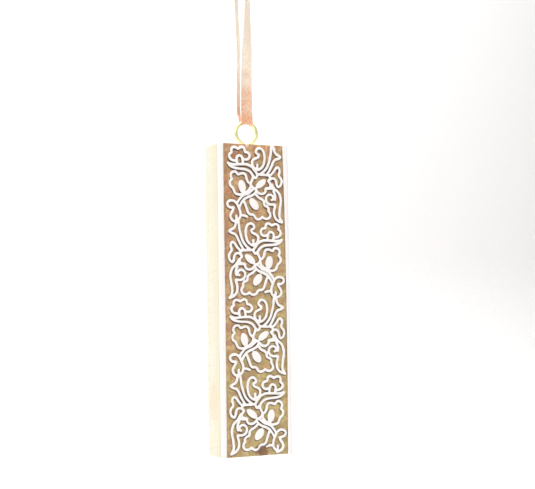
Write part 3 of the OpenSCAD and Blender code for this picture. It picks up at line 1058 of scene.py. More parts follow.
    def tail(self, turn: float) -> Shape:
        """Make one tail that leaves the knot and curls over to a slanting cut."""
        away, lift, count = math.radians(turn), math.radians(self.tail_lift), self.tail_steps + 1
        line = []
        for step in range(count):
            s = step / self.tail_steps
            gone = self.tail_reach * s
            out, up = self.tail_start + gone * math.cos(lift), gone * math.sin(lift)
            up -= self.tail_droop * s * s
            line.append([
                self.knot_at[0] + out * math.cos(away), self.knot_at[1] + out * math.sin(away),
                self.knot_at[2] + up,
            ])
        turned = np.full(count, turn + 90.0) + np.linspace(0, self.tail_twist, count)
        shape = self.strip(np.array(line), turned, False)
        size, way = len(self.section()), np.array(line[-1]) - np.array(line[-2])
        way /= np.linalg.norm(way)
        for k, (across, _) in enumerate(self.section()):
            for back, share in enumerate((1.0, 0.7, 0.35)):
                spot = (self.tail_steps - back) * size + k
                cut = way * share * (across + self.width / 2) * self.tail_slant
                shape.points[spot] = shape.points[spot] - cut
        return shape

    def knot(self, finish: Material) -> Object:
        """Make the knot from wrapped turns of ribbon and two cut tails."""
        shape = Shape()
        for turn in self.turns:
            shape.join(self.wrap(*turn))
        for turn in self.tail_turns:
            shape.join(self.tail(turn))
        piece = add_piece(face_outwards(shape.mesh("ribbon_knot_wraps")), [finish], Body.RIBBON)
        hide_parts("ribbon_knot")
        return piece

    def build(self) -> None:
        finish = GlitterOrganza("ribbon_glitter_organza").material()
        loop, line = self.loop(finish)
        knot = self.knot(finish)
        length = float(np.linalg.norm(np.diff(line, axis=0), axis=1).sum())
        log.info("the ribbon loop is %.1f mm long between its ends in the knot", length)


# --- Carved front ----------------------------------------------------------------------------


class Pattern:
    """The middle lines and the seeds of one repeat of the carving, across and down in millimetres."""

    width = 24.2
    height = 28.3
    lines: dict[str, tuple[tuple[float, float], ...]] = {
        "small_flower": (
            (5, 6.5), (4.3, 6.2), (3.4, 6.1), (2.5, 5.6), (2, 4.7), (2.2, 3.8), (2.9, 3.2), (2.8, 2.3),
            (3.2, 1.5), (4, 1.2), (4.9, 1.4), (5.6, 1.7), (6.3, 1.3), (7.1, 1), (7.9, 1.3), (8.2, 2.1),
            (8.4, 2.8), (9.2, 2.9), (9.9, 3.4), (10.2, 4.2), (9.9, 5.1), (9.1, 5.6), (8.2, 5.6), (7.5, 5.3),
        ),
        "flower_arch": ((5.2, 6.9), (4.9, 5.5), (5.3, 4.6), (6.1, 4.2), (6.9, 4.6), (7.3, 5.5), (7.5, 6.9)),
        "leaf_top": (
            (1.6, 7.2), (2.7, 7.5), (4, 7.6), (5.3, 7.5), (7.4, 7.4), (9, 7.4), (10.2, 7.8),
            (11.3, 8.4), (12.1, 9.4), (12.9, 10.4), (13.4, 11.2),
        ),
        "leaf_under": (
            (1.6, 7.2), (2.2, 8), (3.2, 8.6), (4.4, 8.9), (6.1, 9.1), (7.8, 9.2), (9.2, 9.5),
            (10.4, 10.2), (11.3, 11.3), (11.5, 12.3), (11.1, 13.3), (10.6, 14.4), (10.8, 15.4),
            (11.6, 16.1), (12.6, 16.4),
        ),
        "bud_back": (
            (13.4, 3.4), (12.9, 2.7), (13.2, 1.9), (14, 1.3), (14.9, 1.4), (15.7, 2), (16.2, 3.1),
            (16.4, 4.8), (16.2, 6.3), (15.8, 7.6), (14.9, 8.7), (13.8, 9.3), (12.8, 9.4),
        ),
        "bud_front": (
            (13.3, 3.3), (14, 3.7), (13.8, 4.5), (12.9, 5), (11.9, 5.5), (11.3, 6.3), (11.3, 7.3),
            (11.7, 8.2), (12.5, 9),
        ),
        "bud_tongue": ((13.3, 7.3), (13.3, 8.3), (13.1, 9.2)),
        "stem_left": (
            (19.4, -0.4), (19.1, 1.2), (19, 2.5), (18.8, 3.8), (18.5, 5), (18.1, 6.4), (17.5, 7.9),
            (16.7, 9.1), (15.7, 10.1), (14.6, 10.9),
        ),
        "stem_right": (
            (19.8, 0), (20.3, 1.2), (20.6, 2.3), (21.3, 3.2), (22.2, 3.6), (22.9, 4.2), (22, 4.8),
            (20.8, 5.2), (19.9, 6.2), (19.4, 7.3), (18.8, 8.5), (18.1, 9.8), (17.4, 10.8),
        ),
        "stem_band": ((13.2, 10.9), (14.8, 11.1), (16.8, 11.1), (18.3, 11.2), (18.5, 11.9), (18.4, 12.7)),
        "stem_fork": ((11.8, 11.8), (12.2, 12.4), (12.8, 12.3), (13.3, 11.5)),
        "heart_outside": (
            (17.9, 11.3), (18.7, 11.1), (19.5, 10.4), (20.2, 9.6), (20.9, 8.6), (21.6, 8.1), (22.3, 8.6),
            (22.5, 9.7), (22.1, 10.8), (22.3, 11.5), (22.9, 12.2), (23.3, 13.2), (23.1, 14.3),
            (22.6, 15.1), (21.8, 15.5), (21.3, 14.9),
        ),
        "heart_inside": (
            (18.6, 12.8), (19.1, 12.4), (19.8, 12.3), (20.5, 12.6), (21, 13.4), (21.2, 14.3), (21.4, 15.1),
        ),
        "right_flower": (
            (18.5, 12.6), (17.9, 13.3), (18.4, 13.9), (18.8, 14.7), (18.6, 15.6), (17.7, 16),
            (16.8, 16.2), (16.7, 17.1), (16.1, 17.9), (15, 18.2), (13.9, 17.9), (13.2, 17.3), (12.6, 16.6),
        ),
        "leaf_back": (
            (16.9, 16.4), (18.2, 16.3), (19.4, 16.3), (20.4, 16.5), (21.3, 17.1), (22.2, 18.1),
            (22.7, 19.4), (22.9, 20.7), (22.8, 22), (22.5, 23.4), (22.3, 25), (22.2, 26.5),
            (22.6, 27.7), (23.3, 28.7),
        ),
        "leaf_shoulder": (
            (19.2, 14.6), (19.8, 15.6), (20.4, 16.5), (19.9, 17.2), (20.4, 18.2), (20.5, 19.4), (20.3, 20.2),
        ),
        "leaf_curl": (
            (19.2, 20.4), (19.8, 19.9), (19.7, 19.1), (19, 18.5), (17.9, 18.5), (17, 19.3),
            (16.8, 20.4), (17.3, 21.5), (18.5, 22.1), (19.7, 22.1), (20.5, 22.2), (20.4, 23.1),
            (20.1, 24.2), (20, 25.3), (20.2, 26.4), (20.8, 27.4), (21.8, 28.2), (23.2, 28.7),
        ),
        "left_flower": (
            (10.4, 14.6), (10.5, 15.6), (10.1, 16.7), (9.2, 17.6), (8, 18.2), (6.6, 18.8), (5.3, 18.8),
            (4.3, 18.4), (3.8, 17.5), (3.3, 16.5), (2.4, 15.7), (2.1, 14.7), (2.4, 13.8), (2.9, 13.2),
            (2.5, 12.3), (2.6, 11.3), (3.3, 10.6), (4.3, 10.4), (5, 10.9), (5.4, 11.4), (6.2, 11.2),
            (7.1, 10.9), (8.1, 11.1), (8.7, 11.9), (8.9, 12.9), (9.4, 14), (10.3, 14.8),
        ),
        "vine_upper": (
            (12, 16.3), (10.7, 17.4), (9.8, 18.1), (8.4, 18.6), (7.2, 19.2), (6.2, 20.2),
            (5.4, 21.3), (5, 22.2),
        ),
        "vine_lower": (
            (12.9, 16.9), (12.5, 17.7), (11.9, 18.4), (10.7, 19.1), (9.2, 19.7), (7.9, 20.4),
            (7, 21.4), (6.2, 22.6), (5.8, 23.6),
        ),
        "low_flower": (
            (12.4, 18.2), (13, 18.9), (13.8, 19.6), (14.8, 20.1), (15.7, 20.8), (15.9, 21.8),
            (16.2, 22.5), (17, 22.8), (17.7, 23.5), (17.7, 24.5), (18.2, 25.3), (18.4, 26.2),
            (17.9, 27.1), (16.9, 27.5), (15.9, 27.3), (15.1, 26.9), (14.3, 27.5), (13.3, 27.7),
            (12.4, 27.3), (11.9, 26.5), (11.2, 26), (10.1, 25.9), (9.3, 25.2), (8.9, 24.1),
            (8.5, 23), (8.1, 22), (7.7, 21),
        ),
        "foot_bud_back": (
            (2.9, 23.7), (2, 23.5), (1.2, 22.8), (1.1, 21.9), (1.9, 21.2), (2.9, 21), (4, 21.3),
            (5, 22.3), (5.6, 23.5), (6.1, 24.8), (6.3, 26), (6.1, 27.1), (5.5, 28), (4.8, 28.6),
        ),
        "foot_bud_front": (
            (2.9, 23.6), (3.5, 23.7), (3.3, 24.5), (2.7, 25.4), (2.2, 26.4), (2.3, 27.4),
            (3, 28.3), (4, 28.7), (4.8, 28.9),
        ),
        "foot_bud_tongue": ((4.5, 26.7), (4.5, 27.5), (4.5, 28.6)),
        "foot_spur": ((6.3, 26.4), (7.5, 26.3), (8.8, 26.7)),
    }
    # Across, down, half length, half width, and tilt from upright in degrees
    seeds = ((14.7, 14.5, 2.5, 1.25, 52.0), (7.0, 15.7, 2.5, 1.45, -12.0), (11.8, 22.1, 2.5, 1.5, -38.0))


def value_noise(shape: tuple[int, int], cell: float, rng: np.random.Generator) -> np.ndarray:
    """Make smooth noise from -1 to 1.

    Args:
        shape: The rows and columns to fill.
        cell: The size of one bump, in rows or columns.
        rng: The source of the random numbers.

    Returns:
        The noise.
    """
    rows, cols = (int(n / cell) + 3 for n in shape)
    lattice = rng.uniform(-1.0, 1.0, (rows, cols))
    r, c = np.arange(shape[0]) / cell, np.arange(shape[1]) / cell
    r0, c0 = r.astype(int), c.astype(int)
    fr, fc = (r - r0)[:, None], (c - c0)[None, :]
    fr, fc = fr * fr * (3 - 2 * fr), fc * fc * (3 - 2 * fc)
    a, b = lattice[np.ix_(r0, c0)], lattice[np.ix_(r0, c0 + 1)]
    d, e = lattice[np.ix_(r0 + 1, c0)], lattice[np.ix_(r0 + 1, c0 + 1)]
    return (a * (1 - fc) + b * fc) * (1 - fr) + (d * (1 - fc) + e * fc) * fr


def blurred(values: np.ndarray, reach: int) -> np.ndarray:
    """Average an array over squares, twice, and return it.

    Args:
        values: The array.
        reach: Half the side of a square, in cells.

    Returns:
        The blurred array.
    """
    for _ in range(2):
        for axis in (0, 1):
            pad = [(reach + 1, reach) if a == axis else (0, 0) for a in (0, 1)]
            total = np.cumsum(np.pad(values, pad, mode="edge"), axis=axis)
            size = values.shape[axis]
            high = np.take(total, np.arange(size) + 2 * reach + 1, axis=axis)
            low = np.take(total, np.arange(size), axis=axis)
            values = (high - low) / (2 * reach + 1)
    return values


@dataclass
class CarvedFront:
    """The front board, with its scrollwork carved out of it."""

    left_rim: float = 1.6
    right_rim: float = 1.9
    side_margin: float = 0.5
    rim_bevel: float = 0.4
    relief: float = 0.9
    line_width: float = 0.95
    repeats: int = 4
    foot_margin: float = 1.8
    cell: float = 0.06
    edge: float = 0.08
    spacing: float = 0.145
    fill_spacing: float = 0.5
    # What the broken edges count as in the finish's relief and shade values: below 1 they take less whitewash
    # over painted shadow, so they are painted greyer
    bevel_shade_value: float = 0.74
    # How far past a line the grid is worked out
    spare: float = 1.7
    line_drift: float = 0.05
    swell: tuple[float, float] = (0.96, 1.06)
    # How far the lines' edges waver, and over what distance
    waver: tuple[tuple[float, float], ...] = ((0.045, 1.3), (0.018, 0.45))
    # The size of the gouge's larger and smaller marks, and the smaller ones' share
    gouge: tuple[float, float, float] = (0.9, 0.4, 0.6)
    # How far short of the full relief the ground is left, and how deep the gouge's marks are in it
    ground_lift: float = 0.09
    ground_marks: float = 0.055
    # How far the lines' tops are below the face, and how deep the marks are in them
    top_drop: float = 0.03
    top_marks: float = 0.02
    # Room inside the broken edges: for line points, for fill points, and for the fill's first and last rows
    line_room: float = 0.05
    fill_room: float = 0.1
    fill_margin: tuple[float, float] = (0.25, 0.2)
    step_room: float = 0.08
    strip: float = 0.5
    jitter: float = 0.3
    side_points: int = 240
    end_points: int = 200
    lip: float = 0.12
    # How far round a spot the painted shade looks for open ground, then the blur and the drop of the painted
    # shadow below each line
    open_reach: float = 0.55
    painted_shadow_reach: float = 0.14
    painted_shadow_drop: float = 0.34
    # Distance inside a line's edge, and how much of the full relief the wood keeps there
    shoulder: tuple[tuple[float, float], ...] = (
        (-0.22, 0.0), (-0.11, 0.08), (0.0, 0.60), (0.09, 0.93), (0.20, 1.0),
    )
    # How far each repeat was stamped off its place, across and down
    repeat_drift: tuple[tuple[float, float], ...] = ((0.05, 0.25), (0.45, 0.05), (0.2, 0.05), (0.3, 0.05))
    # How far the ground eats into each rim, at even steps from the top to the foot
    left_bite: tuple[float, ...] = (-0.2, -0.15, -0.25, -0.2, -0.1)
    right_bite: tuple[float, ...] = (-0.35, 0.2, 0.4, 0.35, 0.0)

    def __post_init__(self) -> None:
        """Take the board's place from the frame."""
        self.low, self.high = node_box("carved_front_board")
        self.wide = self.high[0] - self.low[0]
        self.tall = self.high[2] - self.low[2]
        self.panel = (self.left_rim - self.wide / 2, self.wide / 2 - self.right_rim)
        self.pattern = self.panel[1] - self.panel[0] - self.side_margin
        self.pattern_x = self.panel[1] - self.pattern / 2
        self.rng = np.random.default_rng(SEED)

    def inside(self) -> np.ndarray:
        """Work out how far each spot of the board is inside a raised line, in millimetres.

        Returns:
            A grid of rows down and columns across; the ground is negative.
        """
        rows, cols = round(self.tall / self.cell) + 1, round(self.wide / self.cell) + 1
        across = np.linspace(-self.wide / 2, self.wide / 2, cols)
        depth = np.full((rows, cols), -3.0, dtype=np.float64)
        each = (self.tall - self.foot_margin) / self.repeats
        stretch = (self.pattern / Pattern.width, each / Pattern.height)
        for k in range(self.repeats):
            side = -1.0 if k % 2 else 1.0
            centre, sunk = self.pattern_x + self.repeat_drift[k][0], self.repeat_drift[k][1]
            for line in Pattern.lines.values():
                drift = self.rng.normal(0.0, self.line_drift, 2)
                swell = self.line_width / 2 * self.rng.uniform(*self.swell)
                path = smooth_line(line, 5)
                x = (path[:, 0] * stretch[0] - self.pattern / 2 + drift[0]) * side + centre
                v = (path[:, 1] + k * Pattern.height) * stretch[1] + drift[1] + sunk
                for i in range(len(path) - 1):
                    self.stamp(depth, (x[i], v[i]), (x[i + 1], v[i + 1]), swell)
            for seed in Pattern.seeds:
                at = (
                    (seed[0] * stretch[0] - self.pattern / 2) * side + centre,
                    (seed[1] + k * Pattern.height) * stretch[1] + sunk,
                )
                self.stamp_seed(depth, at, seed[2:], side)
        steps = np.linspace(0.0, 1.0, rows)
        left, right = (
            np.interp(steps, np.linspace(0.0, 1.0, len(bite)), bite)[:, None]
            for bite in (self.left_bite, self.right_bite)
        )
        rims = np.maximum(self.panel[0] - left - across[None, :], across[None, :] - self.panel[1] - right)
        depth = np.maximum(depth, rims)
        for amount, size in self.waver:
            depth += amount * value_noise(depth.shape, size / self.cell, self.rng)
        return blurred(depth, 1)

    def window(self, low: Place, high: Place, shape: tuple[int, int]) -> tuple[slice, slice]:
        """Find the cells that cover a stretch of the board, with some to spare.

        Args:
            low: Its least places across and down.
            high: Its greatest ones.
            shape: The grid's rows and columns.

        Returns:
            The rows and the columns.
        """
        spare, cell = self.spare, self.cell
        rows, cols = (
            slice(max(0, int((start - spare) / cell)), min(count, int((end + spare) / cell) + 1))
            for start, end, count in (
                (low[1], high[1], shape[0]), (low[0] + self.wide / 2, high[0] + self.wide / 2, shape[1]),
            )
        )
        return rows, cols

    def spots(self, rows: slice, cols: slice) -> tuple[np.ndarray, np.ndarray]:
        """Return the places across and down of a window's cells."""
        x = np.arange(cols.start, cols.stop) * self.cell - self.wide / 2
        v = np.arange(rows.start, rows.stop) * self.cell
        return x[None, :], v[:, None]

    def stamp(self, depth: np.ndarray, a: Place, b: Place, half: float) -> None:
        """Raise one short stretch of line on the grid.

        Args:
            depth: The grid, changed in place.
            a: Where the stretch starts, across and down.
            b: Where it ends.
            half: Half the line's width.
        """
        low, high = np.minimum(a, b), np.maximum(a, b)
        rows, cols = self.window(low, high, depth.shape)
        if rows.start >= rows.stop or cols.start >= cols.stop:
            return
        x, v = self.spots(rows, cols)
        dx, dv = b[0] - a[0], b[1] - a[1]
        share = np.clip(((x - a[0]) * dx + (v - a[1]) * dv) / max(dx * dx + dv * dv, 1e-12), 0.0, 1.0)
        away = np.hypot(x - a[0] - share * dx, v - a[1] - share * dv)
        np.maximum(depth[rows, cols], half - away, out=depth[rows, cols])

    def stamp_seed(self, depth: np.ndarray, middle: Place, seed: Sequence[float], side: float) -> None:
        """Raise one seed on the grid.

        Args:
            depth: The grid, changed in place.
            middle: Where the seed's middle is, across and down.
            seed: Its half length, half width and tilt.
            side: 1 for a plain repeat and -1 for a mirrored one.
        """
        long, wide, tilt = seed
        rows, cols = self.window(np.subtract(middle, long), np.add(middle, long), depth.shape)
        x, v = self.spots(rows, cols)
        lean = math.radians(tilt)
        dx, dv = (x - middle[0]) * side, v - middle[1]
        along = dx * math.sin(lean) - dv * math.cos(lean)
        over = dx * math.cos(lean) + dv * math.sin(lean)
        inside = (1.0 - np.hypot(along / long, over / wide)) * wide
        np.maximum(depth[rows, cols], inside, out=depth[rows, cols])

    def sampled(self, grid: np.ndarray, x: np.ndarray, v: np.ndarray) -> np.ndarray:
        """Read a grid at places across and down, smoothly between its cells."""
        c = np.clip((x + self.wide / 2) / self.cell, 0, grid.shape[1] - 1.001)
        r = np.clip(v / self.cell, 0, grid.shape[0] - 1.001)
        c0, r0 = c.astype(int), r.astype(int)
        fc, fr = c - c0, r - r0
        upper = grid[r0, c0] * (1 - fc) + grid[r0, c0 + 1] * fc
        lower = grid[r0 + 1, c0] * (1 - fc) + grid[r0 + 1, c0 + 1] * fc
        return upper * (1 - fr) + lower * fr

    def crossings(self, depth: np.ndarray, level: float) -> np.ndarray:
        """Find where the grid crosses a level, as places across and down."""
        s = depth - level
        found = []
        r, c = np.nonzero(s[:, :-1] * s[:, 1:] < 0)
        t = s[r, c] / (s[r, c] - s[r, c + 1])
        found.append(np.stack([(c + t) * self.cell - self.wide / 2, r * self.cell], 1))
        r, c = np.nonzero(s[:-1, :] * s[1:, :] < 0)
        t = s[r, c] / (s[r, c] - s[r + 1, c])
        found.append(np.stack([c * self.cell - self.wide / 2, (r + t) * self.cell], 1))
        return np.vstack(found)

    def thinned(self, points: np.ndarray, spacing: float) -> list[Place]:
        """Keep points that are at least a spacing apart.

        Args:
            points: The points, in the order in which they are tried.
            spacing: The least distance between two that are kept.

        Returns:
            The points that are kept.
        """
        cells: dict[tuple[int, int], list[Place]] = {}
        kept, least = [], spacing * spacing
        for x, v in points.tolist():
            i, j = int(x // spacing), int(v // spacing)
            near = (q for a in (i - 1, i, i + 1) for b in (j - 1, j, j + 1) for q in cells.get((a, b), ()))
            if all((x - q[0]) ** 2 + (v - q[1]) ** 2 >= least for q in near):
                cells.setdefault((i, j), []).append((x, v))
                kept.append((x, v))
        return kept

    def within(self, points: np.ndarray, room: float) -> np.ndarray:
        """Keep the points that lie inside the board's broken edges with some room."""
        reach, last = self.wide / 2 - self.rim_bevel, self.tall - self.edge
        across, down = np.abs(points[:, 0]), points[:, 1]
        return points[(across < reach - room) & (down > self.edge + room) & (down < last - room)]

    def layout(self, depth: np.ndarray) -> np.ndarray:
        """Choose the front's points: along each step of the carving's edge, and sparse elsewhere.

        Args:
            depth: How far each spot is inside a raised line.

        Returns:
            The points across and down, inside the board's broken edges.
        """
        reach, last = self.wide / 2 - self.rim_bevel, self.tall - self.edge
        points: list[Place] = []
        for level, _ in self.shoulder:
            crossing = self.within(self.crossings(depth, level), self.line_room)
            order = np.lexsort((crossing[:, 1], crossing[:, 0] // self.strip))
            points += self.thinned(crossing[order], self.spacing)
        first, stop = self.fill_margin
        x, v = np.meshgrid(
            np.arange(-reach + first, reach - stop, self.fill_spacing),
            np.arange(self.edge + first, last - stop, self.fill_spacing),
        )
        fill = np.stack([x.ravel(), v.ravel()], 1)
        fill += self.rng.uniform(-self.jitter, self.jitter, fill.shape) * self.fill_spacing
        fill = self.within(fill, self.fill_room)
        at = self.sampled(depth, fill[:, 0], fill[:, 1])
        plain = (at > self.shoulder[-1][0] + self.step_room) | (at < self.shoulder[0][0] - self.step_room)
        fill = fill[plain]
        ends = np.linspace(-reach, reach, self.end_points)[1:-1]
        sides = np.linspace(self.edge, last, self.side_points)
        border = [(side * reach, t) for side in (-1, 1) for t in sides]
        border += [(t, end) for end in (self.edge, last) for t in ends]
        return np.vstack([np.array(points), fill, np.array(border)])

    def kept(self, at: np.ndarray) -> np.ndarray:
        """Return how much of the relief the wood keeps at each distance inside a line."""
        return np.interp(at, [d for d, _ in self.shoulder], [h for _, h in self.shoulder])

    def build(self) -> None:
        """Carve the board and dress it."""
        depth = self.inside()
        flat = self.layout(depth)
        corners, _, faces, *_ = delaunay_2d_cdt([Vector(p) for p in flat], [], [], 0, 1e-7)
        spots = np.array([tuple(p) for p in corners])
        x, v = spots[:, 0], spots[:, 1]
        kept = self.kept(self.sampled(depth, x, v))
        large, small, share = self.gouge
        tool = value_noise(depth.shape, large / self.cell, self.rng)
        tool = tool + share * value_noise(depth.shape, small / self.cell, self.rng)
        cut = self.sampled(tool, x, v)
        ground = (1 - kept) * (self.relief - self.ground_lift + self.ground_marks * cut)
        fall = ground + kept * (self.top_drop + self.top_marks * cut)
        y = self.low[1] + np.clip(fall, 0.0, self.relief)
        shape = Shape([tuple(p) for p in np.stack([x, y, self.high[2] - v], 1)], [list(f) for f in faces])
        front = len(shape.faces)
        self.close(shape, x, v)
        mesh = face_outwards(shape.mesh("carved_scrollwork_board"))
        self.dress(mesh, front, depth, kept, x, v)

    def close(self, shape: Shape, x: np.ndarray, v: np.ndarray) -> None:
        """Give the carved front its broken edges, its sides and its back.

        Args:
            shape: The front, changed in place.
            x: Where each of its points is across.
            v: Where each is down.
        """
        reach, last = self.wide / 2 - self.rim_bevel, self.tall - self.edge
        hair = 1e-4
        inner = np.abs(x) < reach - hair
        left = sorted(np.nonzero(np.abs(x + reach) < hair)[0], key=lambda i: v[i])
        right = sorted(np.nonzero(np.abs(x - reach) < hair)[0], key=lambda i: -v[i])
        foot = sorted(np.nonzero((np.abs(v - last) < hair) & inner)[0], key=lambda i: x[i])
        head = sorted(np.nonzero((np.abs(v - self.edge) < hair) & inner)[0], key=lambda i: -x[i])
        loop = [int(i) for i in (*left, *foot, *right, *head)]
        back, lip = self.high[1], self.lip
        middle = (self.low[2] + self.high[2]) / 2
        wide, tall = self.wide / 2 / reach, self.tall / (last - self.edge)
        rings = [loop]
        for grow, setback in ((1.0, None), (1.0, back - lip), (1.0 - lip / 20, back)):
            start = len(shape.points)
            for i in loop:
                px, py, pz = shape.points[i]
                deep = self.rim_bevel if abs(abs(px) - reach) < hair else self.edge
                y = py + deep if setback is None else setback
                z = middle + (pz - middle) * tall * (1 - (1 - grow) / 4)
                shape.points.append((px * wide * grow, y, z))
            rings.append(list(range(start, start + len(loop))))
        for near, far in zip(rings, rings[1:]):
            for k in range(len(loop)):
                n = (k + 1) % len(loop)
                shape.faces.append([near[k], near[n], far[n], far[k]])
        rim = [Vector((shape.points[i][0], shape.points[i][2])) for i in rings[-1]]
        _, _, faces, origin, *_ = delaunay_2d_cdt(rim, [], [], 0, 1e-7)
        shape.faces.extend([[rings[-1][origin[i][0]] for i in face] for face in faces])

    def dress(
        self, mesh: Mesh, front: int, depth: np.ndarray, kept: np.ndarray, x: np.ndarray, v: np.ndarray
    ) -> None:
        """Keep the values that the finish follows, with those for its painted shade and shadow, and make the
        piece.

        Args:
            mesh: The closed board.
            front: How many of its faces are the carved front.
            depth: How far each spot is inside a raised line.
            kept: How much relief each front point keeps.
            x: Where each front point is across.
            v: Where each is down.
        """
        # Values for the painted shade: how open the ground is round each spot, and how much raised line lies
        # just above it, which paints a shadow below each line
        ground = blurred((depth < 0).astype(float), round(self.open_reach / self.cell))
        line = blurred((depth > 0).astype(float), round(self.painted_shadow_reach / self.cell))
        painted_shadow = np.roll(line, round(self.painted_shadow_drop / self.cell), axis=0)
        # The ring at the back of the broken edge gets that value for all three: less whitewash over painted
        # shadow, so the bevel is painted greyer; the sides get full values
        ring = (len(mesh.vertices) - len(x)) // 3
        sides = np.repeat((self.bevel_shade_value, 1.0, 1.0), ring)
        openness, painted_shadow = self.sampled(ground, x, v), self.sampled(painted_shadow, x, v)
        for name, values in (("relief", kept), ("openness", openness), ("painted_shadow", painted_shadow)):
            layer = mesh.attributes.new(name, "FLOAT", "POINT")
            layer.data.foreach_set("value", np.concatenate([values, sides]).astype(np.float32))
        index = np.zeros(len(mesh.polygons), dtype=np.int32)
        index[front + 3 * ring:] = 1
        mesh.polygons.foreach_set("material_index", index)
        carved = CarvedWood(
            "carved_wood_whitewashed", top=self.high[2], foot=self.low[2], half_width=self.wide / 2
        ).material()
        back = PaleWood("board_back_wood", saw_marks=0.7, shift=0.013).material()
        piece = add_piece(mesh, [carved, back], Body.CASE)
        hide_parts("carved_front_board")


# --- Wooden parts ----------------------------------------------------------------------------


def prism(name: str, section: Sequence[tuple[float, float]], low: float, high: float, broken: float) -> Mesh:
    """Make an upright wooden part.

    Args:
        name: The mesh's name.
        section: Its outline across and through, in order.
        low: Its foot.
        high: Its top.
        broken: The width of its broken edges.

    Returns:
        The mesh.
    """
    rings = [[(x, y, z) for x, y in section] for z in (low, high)]
    return bevelled(tube(rings).mesh(name, smooth=False), broken)


